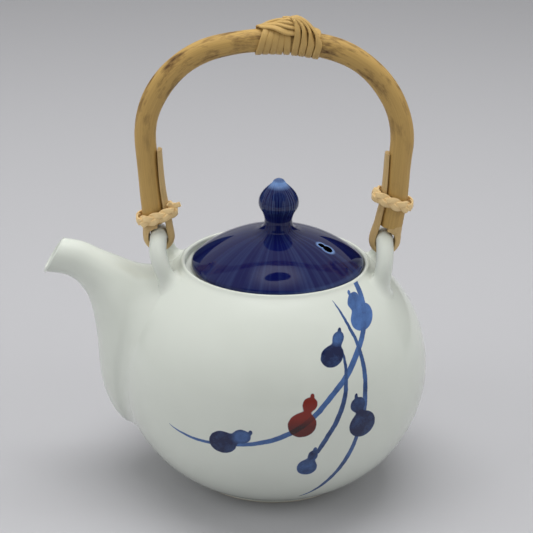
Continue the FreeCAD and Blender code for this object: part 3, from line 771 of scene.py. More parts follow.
# Section of a split strip in shares of its width and thickness, flat below and rounded above
STRIP_SECTION = ((-0.5, -0.3), (-0.42, -0.5), (0.42, -0.5), (0.5, -0.3), (0.5, 0.1), (0.4, 0.42),
                 (0.2, 0.5), (-0.2, 0.5), (-0.4, 0.42), (-0.5, 0.1))


def ribbon(name, path, normals, width, thick, closed=False):
    """A flat strip with soft edges along a path, with its outer face along the normals."""
    rings, marks = [], []
    along = 0.0
    count = len(path)
    for place, (point, normal) in enumerate(zip(path, normals)):
        ahead = path[(place + 1) % count] if closed or place < count - 1 else point
        behind = path[place - 1] if closed or place else point
        if place:
            along += (point - path[place - 1]).length
        forward = (ahead - behind).normalized()
        side = forward.cross(normal).normalized()
        up = side.cross(forward)
        rings.append([point + side * (width * x) + up * (thick * y) for x, y in STRIP_SECTION])
        marks += [(along, width * x, thick * y) for x, y in STRIP_SECTION]
    piece = drawn_out(name, rings, closed)
    keep_marks(piece, "grain", marks)
    return piece


def joined(pieces, name):
    """Several strips made into one piece."""
    set_aside()
    for piece in pieces:
        piece.select_set(True)
    bpy.context.view_layer.objects.active = pieces[0]
    bpy.ops.object.join()
    pieces[0].name = pieces[0].data.name = name
    return pieces[0]


# Back half of the line that a plaited ring follows round the cane and its tongue, in millimetres
# inwards from the cane's middle and to the back, and how the plait lies on it
PLAIT_LINE = ((-5.9, 0.0), (-4.5, 3.9), (0.0, 5.5), (4.4, 5.1), (7.6, 4.1), (9.2, 2.4), (9.5, 0.0))
PLAIT_CENTRE = 2.2
PLAIT_TILT = math.radians(19)
PLAIT_LIFT = 0.95
PLAIT_STRANDS = 3
PLAIT_CORNERS = 192
STRAND_OUT = 0.45
STRAND_WEAVE = 0.75
STRAND_SWAY = 1.6
STRAND_TWIST = 0.28
# Root and tip of the loose ends at the left ring, inwards, to the back and up
TUFTS = (((10.6, -2.6, 1.8), (9.4, -4.2, 4.6)), ((10.2, -2.6, 2.0), (14.6, -3.4, 2.4)))
TUFT_SIZE = 0.8
TUFT_START = 0.8


class MakePlaits(Operator):
    """Plaits the two rings that tie the tongues to the cane"""
    bl_idname = "teapot.plaits"
    bl_label = "Plaited rings"

    def execute(self, context):
        for side, name, solid, height in ((-1, "plait_left", "left_binding", PLAIT_HEIGHTS[0]),
                                          (1, "plait_right", "right_binding", PLAIT_HEIGHTS[1])):
            self.make_plait(side, name, solid, height)
        return {"FINISHED"}

    def make_plait(self, side, name, solid, height):
        """Strands that weave over and under each other round the cane and its tongue."""
        reach = CANE_END[0] + (height - CANE_END[1]) * math.tan(LEG_LEAN)
        middle = Vector(((side * reach + stray(side, height)) * MM + HANDLE_SHIFT, 0, height * MM))
        inward = Vector((-side * math.cos(PLAIT_TILT), 0, math.sin(PLAIT_TILT)))
        upward = Vector((side * math.sin(PLAIT_TILT), 0, math.cos(PLAIT_TILT)))
        centre = Vector((PLAIT_CENTRE, 0, 0))
        marks = [Vector((x, y, 0)) for x, y in PLAIT_LINE]
        marks += [Vector((x, -y, 0)) for x, y in reversed(PLAIT_LINE[1:-1])]
        marks = [mark + (mark - centre).normalized() * PLAIT_LIFT for mark in marks]
        loop = through(marks, 16, closed=True)
        loop = spread(loop + [loop[0]], PLAIT_CORNERS + 1)[:-1]
        outs = []
        for place, point in enumerate(loop):
            along = loop[(place + 1) % PLAIT_CORNERS] - loop[place - 1]
            out = Vector((along.y, -along.x, 0)).normalized()
            outs.append(out if out.dot(point - centre) > 0 else -out)
        strands = []
        for strand in range(PLAIT_STRANDS):
            path, normals = [], []
            for place, (point, out) in enumerate(zip(loop, outs)):
                turn = 2 * math.pi * (sizes().plait_turns * place / PLAIT_CORNERS + strand / PLAIT_STRANDS)
                spot = point + out * (STRAND_WEAVE * math.sin(2 * turn) + STRAND_OUT)
                rise = STRAND_SWAY * math.sin(turn)
                twist = STRAND_TWIST * math.sin(turn)
                path.append(middle + (inward * spot.x + Vector((0, spot.y, 0)) + upward * rise) * MM)
                normals.append((inward * out.x + Vector((0, out.y, 0)) + upward * twist).normalized())
            strands.append(ribbon(f"{name}_{strand}", path, normals, sizes().plait_width,
                                  sizes().plait_thick, closed=True))
        if side < 0:
            strands += [self.tuft(middle, inward, upward, Vector(root), Vector(tip)) for root, tip in TUFTS]
        plait = joined(strands, name)
        settle(plait, rattan_strand(), HANDLE, [solid], crease=SOFT_CREASE)

    def tuft(self, middle, inward, upward, root, tip):
        """A short end of strand that sticks out of the plait."""
        marks = [root * TUFT_START, root, (root + tip) / 2, tip]
        path = [middle + (inward * mark.x + Vector((0, mark.y, 0)) + upward * mark.z) * MM
                for mark in through(marks, 4)]
        return ribbon("tuft", path, [Vector((0, -1, 0.3)).normalized()] * len(path),
                      sizes().plait_width * TUFT_SIZE, sizes().plait_thick * TUFT_SIZE)


def on_crown(along, turn, radius):
    """A point round the crown: along the pot's X, degrees from the underside by the front, and radius."""
    bearing = (along - HANDLE_SHIFT / MM) / CROWN_BEND
    angle = math.radians(turn)
    out = CROWN_BEND - radius * math.cos(angle)
    return Vector((out * math.sin(bearing) * MM + HANDLE_SHIFT, -radius * math.sin(angle) * MM,
                   (CROWN_CENTRE + out * math.cos(bearing)) * MM))


# Turns of the crown strip: place on the underside, lean on the front, then the rise up the other
# side to the knot as (along X, degrees, radius), drawn as it looks half a turn round
CROWN_MIDDLE = 3.9
CROWN_TURNS = (
    (-9.9, 4.4, ((17.7, 60, 6.1), (17.9, 100, 6.2), (16.6, 134, 6.8), (14.8, 154, 7.7), (12.9, 165, 8.9),
                 (11.1, 171, 10.0), (9.2, 174, 10.9), (7.3, 175, 11.5), (6.0, 177, 11.5), (5.2, 184, 10.2),
                 (4.9, 192, 8.2))),
    (-6.5, 3.6, ((14.3, 60, 6.1), (14.5, 100, 6.2), (13.9, 129, 6.8), (13.0, 149, 7.9), (11.7, 160, 9.0),
                 (10.2, 166, 10.0), (8.5, 169, 10.9), (6.8, 172, 11.4), (5.8, 175, 11.4), (5.0, 182, 10.2),
                 (4.7, 190, 8.2))),
    (-3.1, 2.6, ((10.9, 60, 6.1), (11.2, 100, 6.2), (11.1, 124, 6.9), (10.5, 146, 8.3), (9.4, 158, 9.6),
                 (8.2, 164, 10.5), (6.9, 168, 11.1), (5.7, 173, 11.3), (4.8, 180, 10.2), (4.5, 188, 8.2))),
    (0.1, 1.6, ((7.5, 60, 6.1), (7.8, 100, 6.3), (8.0, 122, 7.2), (7.8, 139, 8.4), (7.3, 155, 9.7),
                (6.6, 162, 10.7), (5.9, 168, 11.2), (5.3, 172, 11.2), (4.6, 178, 10.2), (4.3, 186, 8.2))),
)

# Strips of the knot over the front, from the lowest up, as (along X, degrees, radius)
CROWN_KNOT = (
    ((7.5, 136, 7.1), (5.2, 133, 7.5), (3.0, 132, 7.8), (0.6, 138, 8.1), (-2.2, 149, 8.0),
     (-4.8, 157, 7.5), (-7.2, 168, 6.9), (-8.6, 194, 6.6), (-9.0, 226, 6.2)),
    ((7.3, 152, 8.3), (5.0, 150, 8.7), (2.6, 152, 8.9), (-0.1, 160, 8.7), (-2.7, 167, 8.1),
     (-5.1, 175, 7.4), (-7.2, 190, 6.9), (-8.2, 216, 6.5)),
    ((7.0, 164, 9.3), (4.6, 162, 9.7), (2.6, 164, 9.7), (0.3, 170, 9.1), (-2.0, 176, 8.2),
     (-4.6, 186, 7.4), (-6.6, 208, 6.8)),
    ((6.6, 172, 10.2), (5.0, 171, 10.5), (3.3, 173, 10.4), (1.5, 176, 9.7), (-0.7, 181, 8.7),
     (-3.4, 192, 7.6), (-5.2, 210, 7.0)),
)
# Height of the lowest layer over the cane, of the first turn over that, each next turn's fall, and
# the strip's sag at the front and its slack below
CROWN_LAYER = 0.55
CROWN_OVER = 0.45
CROWN_STEP = 0.15
CROWN_SAG = 0.1
# How high the knot stands at the back and at the front
CROWN_WAYS = ((1, 0.65), (-1, 1.0))
CROWN_TIE = 3.8
# Strips turn onto the knot's side from this bearing over this many degrees, round the knot's heart
KNOT_FROM = 95
KNOT_OVER = 45
KNOT_HEART = 4.6
KNOT_HEART_HEIGHT = 2.5


class MakeCrownWrap(Operator):
    """Winds the flat strip round the crown and ties it in a knot over the top"""
    bl_idname = "teapot.crown_wrap"
    bl_label = "Crown wrap"

    def execute(self, context):
        low = CANE_RADIUS + CROWN_LAYER
        strips = []
        for way, full in CROWN_WAYS:
            runs = []
            for place, (foot, lean, rise) in enumerate(CROWN_TURNS):
                over = low + CROWN_OVER - CROWN_STEP * place
                run = [(foot + lean, 158, over), (foot + lean * 0.85, 130, over),
                       (foot + lean * 0.5, 90, over - CROWN_SAG), (foot + lean * 0.15, 45, low),
                       (foot, 0, low + CROWN_SAG)]
                runs.append(run + [(2 * CROWN_MIDDLE - along, -turn, low + (radius - low) * full)
                                   for along, turn, radius in rise])
            for number, run in enumerate(runs + list(CROWN_KNOT)):
                strips.append(self.strip(f"crown_strip_{number}_{way}", run, way))
        tie = [(CROWN_TIE, turn, low) for turn in range(160, -161, -40)]
        strips.append(self.strip("crown_strip_middle", tie, 1))
        wrap = joined(strips, "crown_wrap")
        settle(wrap, rattan_strip(), HANDLE, ["crown_winding", "crown_bundle"],
               crease=SOFT_CREASE)
        return {"FINISHED"}

    def strip(self, name, marks, way):
        """One strip, or its half-turned fellow on the other side of the crown."""
        run = through([Vector(mark) for mark in marks], 10)
        path, normals = [], []
        for along, turn, radius in run:
            # A strip lies flat on the cane, and on the knot's side as it climbs to its tip
            climb = min(max((-turn - KNOT_FROM) / KNOT_OVER, 0), 1)
            heart = 2 * CROWN_MIDDLE - KNOT_HEART
            if way < 0:
                along, turn, heart = 2 * CROWN_MIDDLE - along, -turn, 2 * CROWN_MIDDLE - heart
            point = on_crown(along, turn, radius)
            flat = (point - on_crown(along, turn, 0)).normalized()
            steep = (point - on_crown(heart, 180, KNOT_HEART_HEIGHT)).normalized()
            path.append(point)
            normals.append(flat.lerp(steep, climb).normalized())
        return ribbon(name, path, normals, sizes().strip_width, sizes().strip_thick)


# Finishes

# Places of the colour sockets on a mix node
MIX_FACTOR, MIX_A, MIX_B, MIX_RESULT = 0, 6, 7, 2


def node(tree, kind, inputs=None, **settings):
    """Adds a shader node, makes its settings, and sets its inputs or links them to sockets or nodes."""
    made = tree.nodes.new("ShaderNode" + kind)
    for name, value in settings.items():
        setattr(made, name, value)
    for name, value in (inputs or {}).items():
        if isinstance(value, bpy.types.Node):
            value = value.outputs[0]
        if isinstance(value, bpy.types.NodeSocket):
            tree.links.new(value, made.inputs[name])
        else:
            made.inputs[name].default_value = value
    return made


def finish_named(name, build, *fresh):
    """The finish of that name, built on its first use, in a fresh colour where it comes in several."""
    material = bpy.data.materials.get(name)
    if material is None:
        material = bpy.data.materials.new(name)
        material.use_nodes = True
        build(material.node_tree, material.node_tree.nodes["Principled BSDF"], *fresh)
    return material


def opaque(colour):
    return (*colour, 1.0)


# Painted gourds on the unrolled side of the pot, in millimetres round from the front and up from the
# widest line: middle and half sizes of the big and the small lobe, place of the stalk, load of blue
# in each lobe, and whether the gourd is iron red
GOURDS = (
    ((44.6, 47.2), (7.2, 6.2), (40.4, 55.8), (4.1, 4.0), (38.0, 60.4), 0.24, 0.42, False),
    ((26.9, 33.1), (5.7, 5.0), (30.1, 40.6), (3.0, 3.2), (30.8, 44.2), 0.95, 0.45, False),
    ((13.2, 3.0), (6.6, 6.1), (16.6, 12.6), (3.5, 3.3), (17.6, 16.4), 0.9, 0.9, True),
    ((-23.2, -7.8), (6.6, 6.0), (-14.2, -3.4), (4.2, 3.6), (-10.2, -1.0), 0.95, 0.4, False),
    ((43.4, -1.6), (7.2, 6.6), (40.4, 8.8), (4.0, 3.5), (39.4, 13.0), 0.95, 0.85, False),
    ((16.0, -21.2), (4.8, 5.2), (18.7, -13.6), (2.3, 2.7), (19.6, -10.4), 0.62, 0.9, False),
)

# Painted stems: whether the stem runs up the pot or round it, its load of blue, then places along
# and across it and half widths in millimetres
STEMS = (
    (True, 0.34, ((9.0, 21.0, 1.3), (14.9, 26.5, 1.4), (22.7, 33.9, 1.55), (33.3, 40.6, 1.6),
                  (40.7, 44.2, 1.6), (52.0, 46.2, 1.75), (63.5, 44.2, 1.75))),
    (False, 0.36, ((-52.0, -5.6, 0.1), (-44.9, -8.0, 0.55), (-34.0, -9.3, 0.8), (-17.3, -8.1, 1.0),
                   (-5.8, -6.0, 1.2), (7.2, -1.1, 1.3), (19.0, 7.1, 1.35), (26.4, 14.8, 1.4),
                   (30.5, 19.1, 1.4))),
    (True, 0.55, ((-50.0, 13.0, 0.12), (-44.0, 19.3, 0.75), (-31.8, 28.3, 1.1), (-18.7, 35.9, 1.25),
                  (-8.3, 40.1, 1.2), (9.0, 44.4, 1.3), (20.5, 44.3, 1.25), (33.0, 41.5, 1.0),
                  (44.5, 36.1, 0.75), (59.0, 27.8, 0.1))),
    (True, 0.68, ((-13.0, 20.2, 0.8), (-3.9, 25.5, 1.25), (5.3, 30.6, 1.3), (16.4, 33.8, 1.1),
                  (25.8, 33.9, 0.85), (35.5, 31.6, 0.55))),
    (False, 0.3, ((11.2, -22.6, 0.06), (13.6, -19.8, 0.25), (17.0, -16.8, 0.3))),
)


def curve_between(tree, value, marks):
    """A smooth curve through (place, number) marks, read at a value, with 0 outside its ends."""
    low, high = marks[0][0], marks[-1][0]
    least = min(number for _, number in marks)
    most = max(number for _, number in marks)
    share = node(tree, "MapRange", {"Value": value, "From Min": low, "From Max": high})
    bent = node(tree, "FloatCurve", {"Value": share})
    points = bent.mapping.curves[0].points
    while len(points) < len(marks):
        points.new(0.5, 0.5)
    for point, (place, number) in zip(points, marks):
        point.location = ((place - low) / (high - low), (number - least) / (most - least))
    bent.mapping.update()
    return node(tree, "MapRange", {"Value": bent, "To Min": least, "To Max": most})


def painted_coat(tree, shared):
    """Brush coat of the gourds and stems over the glaze colour, and how much of it covers."""
    split = node(tree, "SeparateXYZ", {"Vector": shared})
    square = node(tree, "VectorMath", {0: shared, 1: (1, 1, 0)}, operation="MULTIPLY")
    radius = node(tree, "VectorMath", {0: square}, operation="LENGTH").outputs["Value"]
    front = node(tree, "Math", {0: split.outputs["Y"], 1: -1.0}, operation="MULTIPLY")
    bearing = node(tree, "Math", {0: split.outputs["X"], 1: front}, operation="ARCTAN2")
    bow = node(tree, "Math", {0: bearing, 1: radius}, operation="MULTIPLY")
    across = node(tree, "Math", {0: radius, 1: BELLY_CENTRE}, operation="SUBTRACT")
    up = node(tree, "Math", {0: split.outputs["Z"], 1: BELLY_HEIGHT}, operation="SUBTRACT")
    climb = node(tree, "Math", {0: up, 1: across}, operation="ARCTAN2")
    round_mm = node(tree, "Math", {0: bow, 1: 1 / MM}, operation="MULTIPLY")
    up_mm = node(tree, "Math", {0: climb, 1: BELLY_CURVE / MM}, operation="MULTIPLY")
    flat = node(tree, "CombineXYZ", {"X": round_mm, "Y": up_mm})
    # A brush edge strays by about 0.3 mm over 3 mm of stroke
    wobble = node(tree, "TexNoise", {"Vector": flat, "Scale": 0.35, "Detail": 3.0})
    centred = node(tree, "VectorMath", {0: wobble.outputs["Color"], 1: (0.5, 0.5, 0.5)},
                   operation="SUBTRACT")
    small = node(tree, "VectorMath", {0: centred, "Scale": 0.55}, operation="SCALE")
    drawn = node(tree, "VectorMath", {0: flat, 1: small}, operation="ADD")
    place = node(tree, "SeparateXYZ", {"Vector": drawn})
    # Washes pool unevenly over 6 mm
    pool = node(tree, "TexNoise", {"Vector": flat, "Scale": 0.16, "Detail": 4.0, "Roughness": 0.6})
    grain = node(tree, "TexNoise", {"Vector": flat, "Scale": 1.6, "Detail": 2.0})
    cover = load = red = 0.0
    for upright, fill, marks in STEMS:
        run, cross = ("Y", "X") if upright else ("X", "Y")
        middle = curve_between(tree, place.outputs[run], [(a, b) for a, b, _ in marks])
        slopes = []
        for index in range(len(marks)):
            before, after = marks[max(index - 1, 0)], marks[min(index + 1, len(marks) - 1)]
            slopes.append((after[1] - before[1]) / (after[0] - before[0]))
        half = curve_between(tree, place.outputs[run],
                             [(a, w * math.hypot(1, slope)) for (a, _, w), slope in zip(marks, slopes)])
        off = node(tree, "Math", {0: place.outputs[cross], 1: middle}, operation="SUBTRACT")
        away = node(tree, "Math", {0: off}, operation="ABSOLUTE")
        edge = node(tree, "Math", {0: half, 1: away}, operation="SUBTRACT")
        body = node(tree, "MapRange", {"Value": edge, "From Min": -0.12, "From Max": 0.16})
        first, last = marks[0][0], marks[-1][0]
        begun = node(tree, "Math", {0: place.outputs[run], 1: first}, operation="GREATER_THAN")
        ended = node(tree, "Math", {0: place.outputs[run], 1: last}, operation="LESS_THAN")
        inside = node(tree, "Math", {0: begun, 1: ended}, operation="MULTIPLY")
        stroke = node(tree, "Math", {0: body, 1: inside}, operation="MULTIPLY")
        shade = node(tree, "Math", {0: stroke, 1: fill}, operation="MULTIPLY")
        load = node(tree, "Math", {0: load, 1: shade}, operation="MAXIMUM")
        cover = node(tree, "Math", {0: cover, 1: stroke}, operation="MAXIMUM")
    stems = cover
    for big, wide, little, slim, stalk, fill, tip_fill, iron in GOURDS:
        lobes = []
        for middle, (across_mm, high_mm) in ((big, wide), (little, slim), (stalk, (0.9, 1.2))):
            gap = node(tree, "VectorMath", {0: drawn, 1: (*middle, 0)}, operation="SUBTRACT")
            share = node(tree, "VectorMath", {0: gap, 1: (1 / across_mm, 1 / high_mm, 0)},
                         operation="MULTIPLY")
            reach = node(tree, "VectorMath", {0: share}, operation="LENGTH").outputs["Value"]
            mean = (across_mm + high_mm) / 2
            lobes.append(node(tree, "Math", {0: reach, 1: mean, 2: -mean}, operation="MULTIPLY_ADD"))
        waist = node(tree, "Math", {0: lobes[0], 1: lobes[1], 2: 4.6}, operation="SMOOTH_MIN")
        whole = node(tree, "Math", {0: waist, 1: lobes[2], 2: 1.4}, operation="SMOOTH_MIN")
        body = node(tree, "MapRange", {"Value": whole, "From Min": 0.16, "From Max": -0.14})
        heavy = node(tree, "MapRange", {"Value": lobes[1], "From Min": 1.0, "From Max": -1.6,
                                        "To Min": fill, "To Max": tip_fill})
        shade = node(tree, "Math", {0: body, 1: heavy}, operation="MULTIPLY")
        load = node(tree, "Math", {0: load, 1: shade}, operation="MAXIMUM")
        cover = node(tree, "Math", {0: cover, 1: body}, operation="MAXIMUM")
        if iron:
            red = body
            # Iron red settles in the lower part of the big lobe
            settled = node(tree, "MapRange", {
                "Value": place.outputs["Y"], "From Min": big[1] + 3.5, "From Max": big[1] - 1.0,
                "To Max": 0.6})
    wet = node(tree, "MapRange", {"Value": pool.outputs["Fac"], "From Min": 0.3, "From Max": 0.7,
                                  "To Min": -0.22, "To Max": 0.22})
    fleck = node(tree, "MapRange", {"Value": grain.outputs["Fac"], "To Min": -0.12, "To Max": 0.12})
    uneven = node(tree, "Math", {0: wet, 1: fleck}, operation="ADD")
    strength = node(tree, "Math", {0: load, 1: uneven}, operation="ADD", use_clamp=True)
    blue = node(tree, "Mix", {MIX_FACTOR: strength, MIX_A: opaque(colours().brush_blue),
                              MIX_B: opaque(colours().brush_navy)}, data_type="RGBA")
    crossed = node(tree, "Math", {0: stems, 1: 0.4, 2: settled}, operation="MULTIPLY_ADD")
    dark_red = node(tree, "Math", {0: crossed, 1: fleck}, operation="ADD", use_clamp=True)
    iron = node(tree, "Mix", {MIX_FACTOR: dark_red, MIX_A: opaque(colours().brush_red),
                              MIX_B: opaque(colours().brush_rust)}, data_type="RGBA")
    paint = node(tree, "Mix", {MIX_FACTOR: red, MIX_A: blue.outputs[MIX_RESULT],
                               MIX_B: iron.outputs[MIX_RESULT]}, data_type="RGBA")
    # Only the front of the outer skin is painted
    wall = node(tree, "CombineXYZ", {"X": across, "Y": up})
    depth = node(tree, "VectorMath", {0: wall}, operation="LENGTH").outputs["Value"]
    skin = node(tree, "Math", {0: depth, 1: BELLY_CURVE, 2: POT_WALL / 4}, operation="COMPARE")
    ahead = node(tree, "Math", {0: split.outputs["Y"], 1: 0.0}, operation="LESS_THAN")
    front_skin = node(tree, "Math", {0: skin, 1: ahead}, operation="MULTIPLY")
    seen = node(tree, "Math", {0: cover, 1: front_skin}, operation="MULTIPLY")
    return paint.outputs[MIX_RESULT], seen


def build_porcelain(tree, shader):
    """White porcelain under a clear glaze: a cool, faintly green white with a wet gloss."""
    shared = node(tree, "TexCoord").outputs["Object"]
    # Glaze thickness drifts over about 25 mm
    drift = node(tree, "TexNoise", {"Vector": shared, "Scale": 1 / (25 * MM), "Detail": 2.0})
    tone = node(tree, "MapRange", {"Value": drift.outputs["Fac"], "To Min": 0.965, "To Max": 1.02})
    glaze = node(tree, "VectorMath", {0: colours().porcelain, "Scale": tone}, operation="SCALE")
    paint, cover = painted_coat(tree, shared)
    coat = node(tree, "Mix", {MIX_FACTOR: cover, MIX_A: glaze, MIX_B: paint}, data_type="RGBA")
    height = node(tree, "SeparateXYZ", {"Vector": shared}).outputs["Z"]
    bare = node(tree, "MapRange", {"Value": height, "From Min": 0.9 * MM, "From Max": 0.5 * MM})
    whole = node(tree, "Mix", {MIX_FACTOR: bare, MIX_A: coat.outputs[MIX_RESULT],
                               MIX_B: opaque(colours().biscuit)}, data_type="RGBA")
    rough = node(tree, "MapRange", {"Value": bare, "To Min": 0.07, "To Max": 0.6})
    # A glaze lies in soft waves of about 12 mm, a few microns high
    wave = node(tree, "TexNoise", {"Vector": shared, "Scale": 85.0, "Detail": 1.0})
    ripple = node(tree, "Bump", {"Height": wave.outputs["Fac"], "Strength": 0.035, "Distance": MM})
    tree.links.new(whole.outputs[MIX_RESULT], shader.inputs["Base Color"])
    tree.links.new(rough.outputs[0], shader.inputs["Roughness"])
    tree.links.new(ripple.outputs[0], shader.inputs["Normal"])
    shader.inputs["IOR"].default_value = 1.5


def porcelain():
    return finish_named("glazed_porcelain", build_porcelain)


def build_cobalt(tree, shader):
    """Cobalt glaze: nearly black blue where it lies thick, pale where it runs off edges and the tip, and
    painted shade in the vent holes.
    """
    shared = node(tree, "TexCoord").outputs["Object"]
    split = node(tree, "SeparateXYZ", {"Vector": shared})
    bearing = node(tree, "Math", {0: split.outputs["Y"], 1: split.outputs["X"]}, operation="ARCTAN2")
    # Runs of glaze streak down every few degrees, 1 mm apart on the knob
    streak_at = node(tree, "CombineXYZ", {"X": bearing, "Z": split.outputs["Z"]})
    streaks = node(tree, "TexNoise", {"Vector": streak_at, "Scale": 14.0, "Detail": 3.0})
    flow = node(tree, "MapRange", {"Value": streaks.outputs["Fac"], "From Min": 0.45,
                                   "From Max": 0.75, "To Max": 0.07})
    # They show more on the knob's bulb
    bulb = node(tree, "MapRange", {"Value": split.outputs["Z"], "From Min": 134.5 * MM,
                                   "From Max": 137.5 * MM, "To Min": 1.0, "To Max": 4.5})
    runs = node(tree, "Math", {0: flow, 1: bulb}, operation="MULTIPLY")
    # The glaze runs off in a ring below the tip, and less on the tip itself
    ring = node(tree, "MapRange", {"Value": split.outputs["Z"], "From Min": 147.4 * MM,
                                   "From Max": 149.9 * MM, "To Max": 0.85})
    cap = node(tree, "MapRange", {"Value": split.outputs["Z"], "From Min": 150.3 * MM,
                                  "From Max": 151.3 * MM, "To Min": 1.0, "To Max": 0.35})
    tip = node(tree, "Math", {0: ring, 1: cap}, operation="MULTIPLY")
    square = node(tree, "VectorMath", {0: shared, 1: (1, 1, 0)}, operation="MULTIPLY")
    radius = node(tree, "VectorMath", {0: square}, operation="LENGTH")
    edge = node(tree, "MapRange", {"Value": radius.outputs["Value"], "From Min": (LID_RADIUS - 0.9) * MM,
                                   "From Max": (LID_RADIUS + 0.1) * MM, "To Max": 0.08})
    thin = node(tree, "Math", {0: tip, 1: edge}, operation="MAXIMUM")
    # Painted shade: the walls of the vent holes, marked here, are coloured near black for the shade inside
    # the vent
    holes = 0.0
    for x, y, hole in VENTS:
        away = node(tree, "VectorMath", {0: square, 1: (x * MM, y * MM, 0)}, operation="DISTANCE")
        halo = node(tree, "MapRange", {
            "Value": away.outputs["Value"], "From Min": (hole + 1.5) * MM, "From Max": (hole + 0.1) * MM,
            "To Max": 0.9})
        thin = node(tree, "Math", {0: thin, 1: halo}, operation="MAXIMUM")
        inside = node(tree, "Math", {0: away.outputs["Value"], 1: (hole + 0.03) * MM},
                      operation="LESS_THAN")
        holes = node(tree, "Math", {0: holes, 1: inside}, operation="MAXIMUM")
    whole = node(tree, "Math", {0: thin, 1: runs}, operation="ADD", use_clamp=True)
    blue = node(tree, "Mix", {MIX_FACTOR: whole, MIX_A: opaque(colours().cobalt),
                              MIX_B: opaque(colours().cobalt_thin)}, data_type="RGBA")
    cut = node(tree, "Mix", {MIX_FACTOR: holes, MIX_A: blue.outputs[MIX_RESULT],
                             MIX_B: opaque(colours().vent)}, data_type="RGBA")
    wave = node(tree, "TexNoise", {"Vector": shared, "Scale": 90.0, "Detail": 1.0})
    ripple = node(tree, "Bump", {"Height": wave.outputs["Fac"], "Strength": 0.03, "Distance": MM})
    tree.links.new(cut.outputs[MIX_RESULT], shader.inputs["Base Color"])
    tree.links.new(ripple.outputs[0], shader.inputs["Normal"])
    shader.inputs["Roughness"].default_value = 0.05
    shader.inputs["IOR"].default_value = 1.45


def cobalt_glaze():
    return finish_named("deep_cobalt_glaze", build_cobalt)


def build_cane(tree, shader, fresh):
    """Peeled cane: a dull tan with long fibres, scorched where it was bent over heat, pale where shaved."""
    grain = node(tree, "Attribute", attribute_name="grain").outputs["Vector"]
    # Fibres about 0.5 mm wide and 30 mm long
    drawn = node(tree, "VectorMath", {0: grain, 1: (30, 1900, 1900)}, operation="MULTIPLY")
    fibres = node(tree, "TexNoise", {"Vector": drawn, "Scale": 1.0, "Detail": 4.0})
    # Patches of colour about 12 mm long and 4 mm wide
    spread_out = node(tree, "VectorMath", {0: grain, 1: (80, 230, 230)}, operation="MULTIPLY")
    patches = node(tree, "TexNoise", {"Vector": spread_out, "Scale": 1.0, "Detail": 5.0,
                                      "Roughness": 0.62})
    scorch = node(tree, "MapRange", {"Value": patches.outputs["Fac"], "From Min": 0.5,
                                     "From Max": 0.72})
    where = node(tree, "TexCoord").outputs["Object"]
    height = node(tree, "SeparateXYZ", {"Vector": where}).outputs["Z"]
    bent = node(tree, "MapRange", {"Value": height, "From Min": 0.165, "From Max": 0.2,
                                   "To Min": 0.2, "To Max": 1.0})
    burnt = node(tree, "Math", {0: scorch, 1: bent}, operation="MULTIPLY")
    streaked = node(tree, "MapRange", {"Value": fibres.outputs["Fac"], "From Min": 0.3,
                                       "From Max": 0.75, "To Max": 0.22})
    dark = node(tree, "Math", {0: burnt, 1: streaked}, operation="ADD", use_clamp=True)
    tan = node(tree, "Mix", {MIX_FACTOR: dark, MIX_A: opaque(fresh),
                             MIX_B: opaque(colours().cane_dark)}, data_type="RGBA")
    relief = node(tree, "Bump", {"Height": fibres.outputs["Fac"], "Strength": 0.35,
                                 "Distance": 0.25 * MM})
    tree.links.new(tan.outputs[MIX_RESULT], shader.inputs["Base Color"])
    tree.links.new(relief.outputs[0], shader.inputs["Normal"])
    shader.inputs["Roughness"].default_value = 0.55


def bent_cane():
    return finish_named("peeled_cane", build_cane, colours().cane)


def shaved_cane():
    return finish_named("shaved_cane", build_cane, colours().shaved)


def build_strip(tree, shader, fresh):
    """Split rattan: a yellow strip with fine long fibres and a low sheen, paler in the twisted strands."""
    grain = node(tree, "Attribute", attribute_name="grain").outputs["Vector"]
    # Fibres about 0.4 mm wide and 20 mm long
    drawn = node(tree, "VectorMath", {0: grain, 1: (50, 2500, 2500)}, operation="MULTIPLY")
    fibres = node(tree, "TexNoise", {"Vector": drawn, "Scale": 1.0, "Detail": 3.0})
    shade = node(tree, "MapRange", {"Value": fibres.outputs["Fac"], "From Min": 0.3,
                                    "From Max": 0.75, "To Max": 0.3})
    straw = node(tree, "Mix", {MIX_FACTOR: shade, MIX_A: opaque(fresh),
                               MIX_B: opaque(colours().cane)}, data_type="RGBA")
    relief = node(tree, "Bump", {"Height": fibres.outputs["Fac"], "Strength": 0.3,
                                 "Distance": 0.15 * MM})
    tree.links.new(straw.outputs[MIX_RESULT], shader.inputs["Base Color"])
    tree.links.new(relief.outputs[0], shader.inputs["Normal"])
    shader.inputs["Roughness"].default_value = 0.5


def rattan_strip():
    return finish_named("split_rattan", build_strip, colours().strip)


def rattan_strand():
    return finish_named("pale_split_rattan", build_strip, colours().strand)


# Stage

IMAGE_SIDE = 533
FOCAL_PIXELS = 1600
CAMERA_ELEVATION = math.radians(22)
CAMERA_ROLL = math.radians(0.9)
CAMERA_DISTANCE = 0.771
CAMERA_TARGET = Vector((-0.0041, 0, 0.107))
SENSOR_WIDTH = 36.0
FLOOR_SIZE = 12
WORLD_LIGHT = 0.42

# Lamps: name, place, point they face, width and depth, power
LAMPS = (
    ("lamp_above", (0, 0.2, 1.2), (0, 0, 0.05), (1.2, 0.7), 10.5),
    ("lamp_left", (-1.1, -0.5, 0.75), (0, 0, 0.1), (0.7, 0.9), 4.2),
    ("lamp_right", (1.1, -0.5, 0.75), (0, 0, 0.1), (0.7, 0.9), 3.0),
)

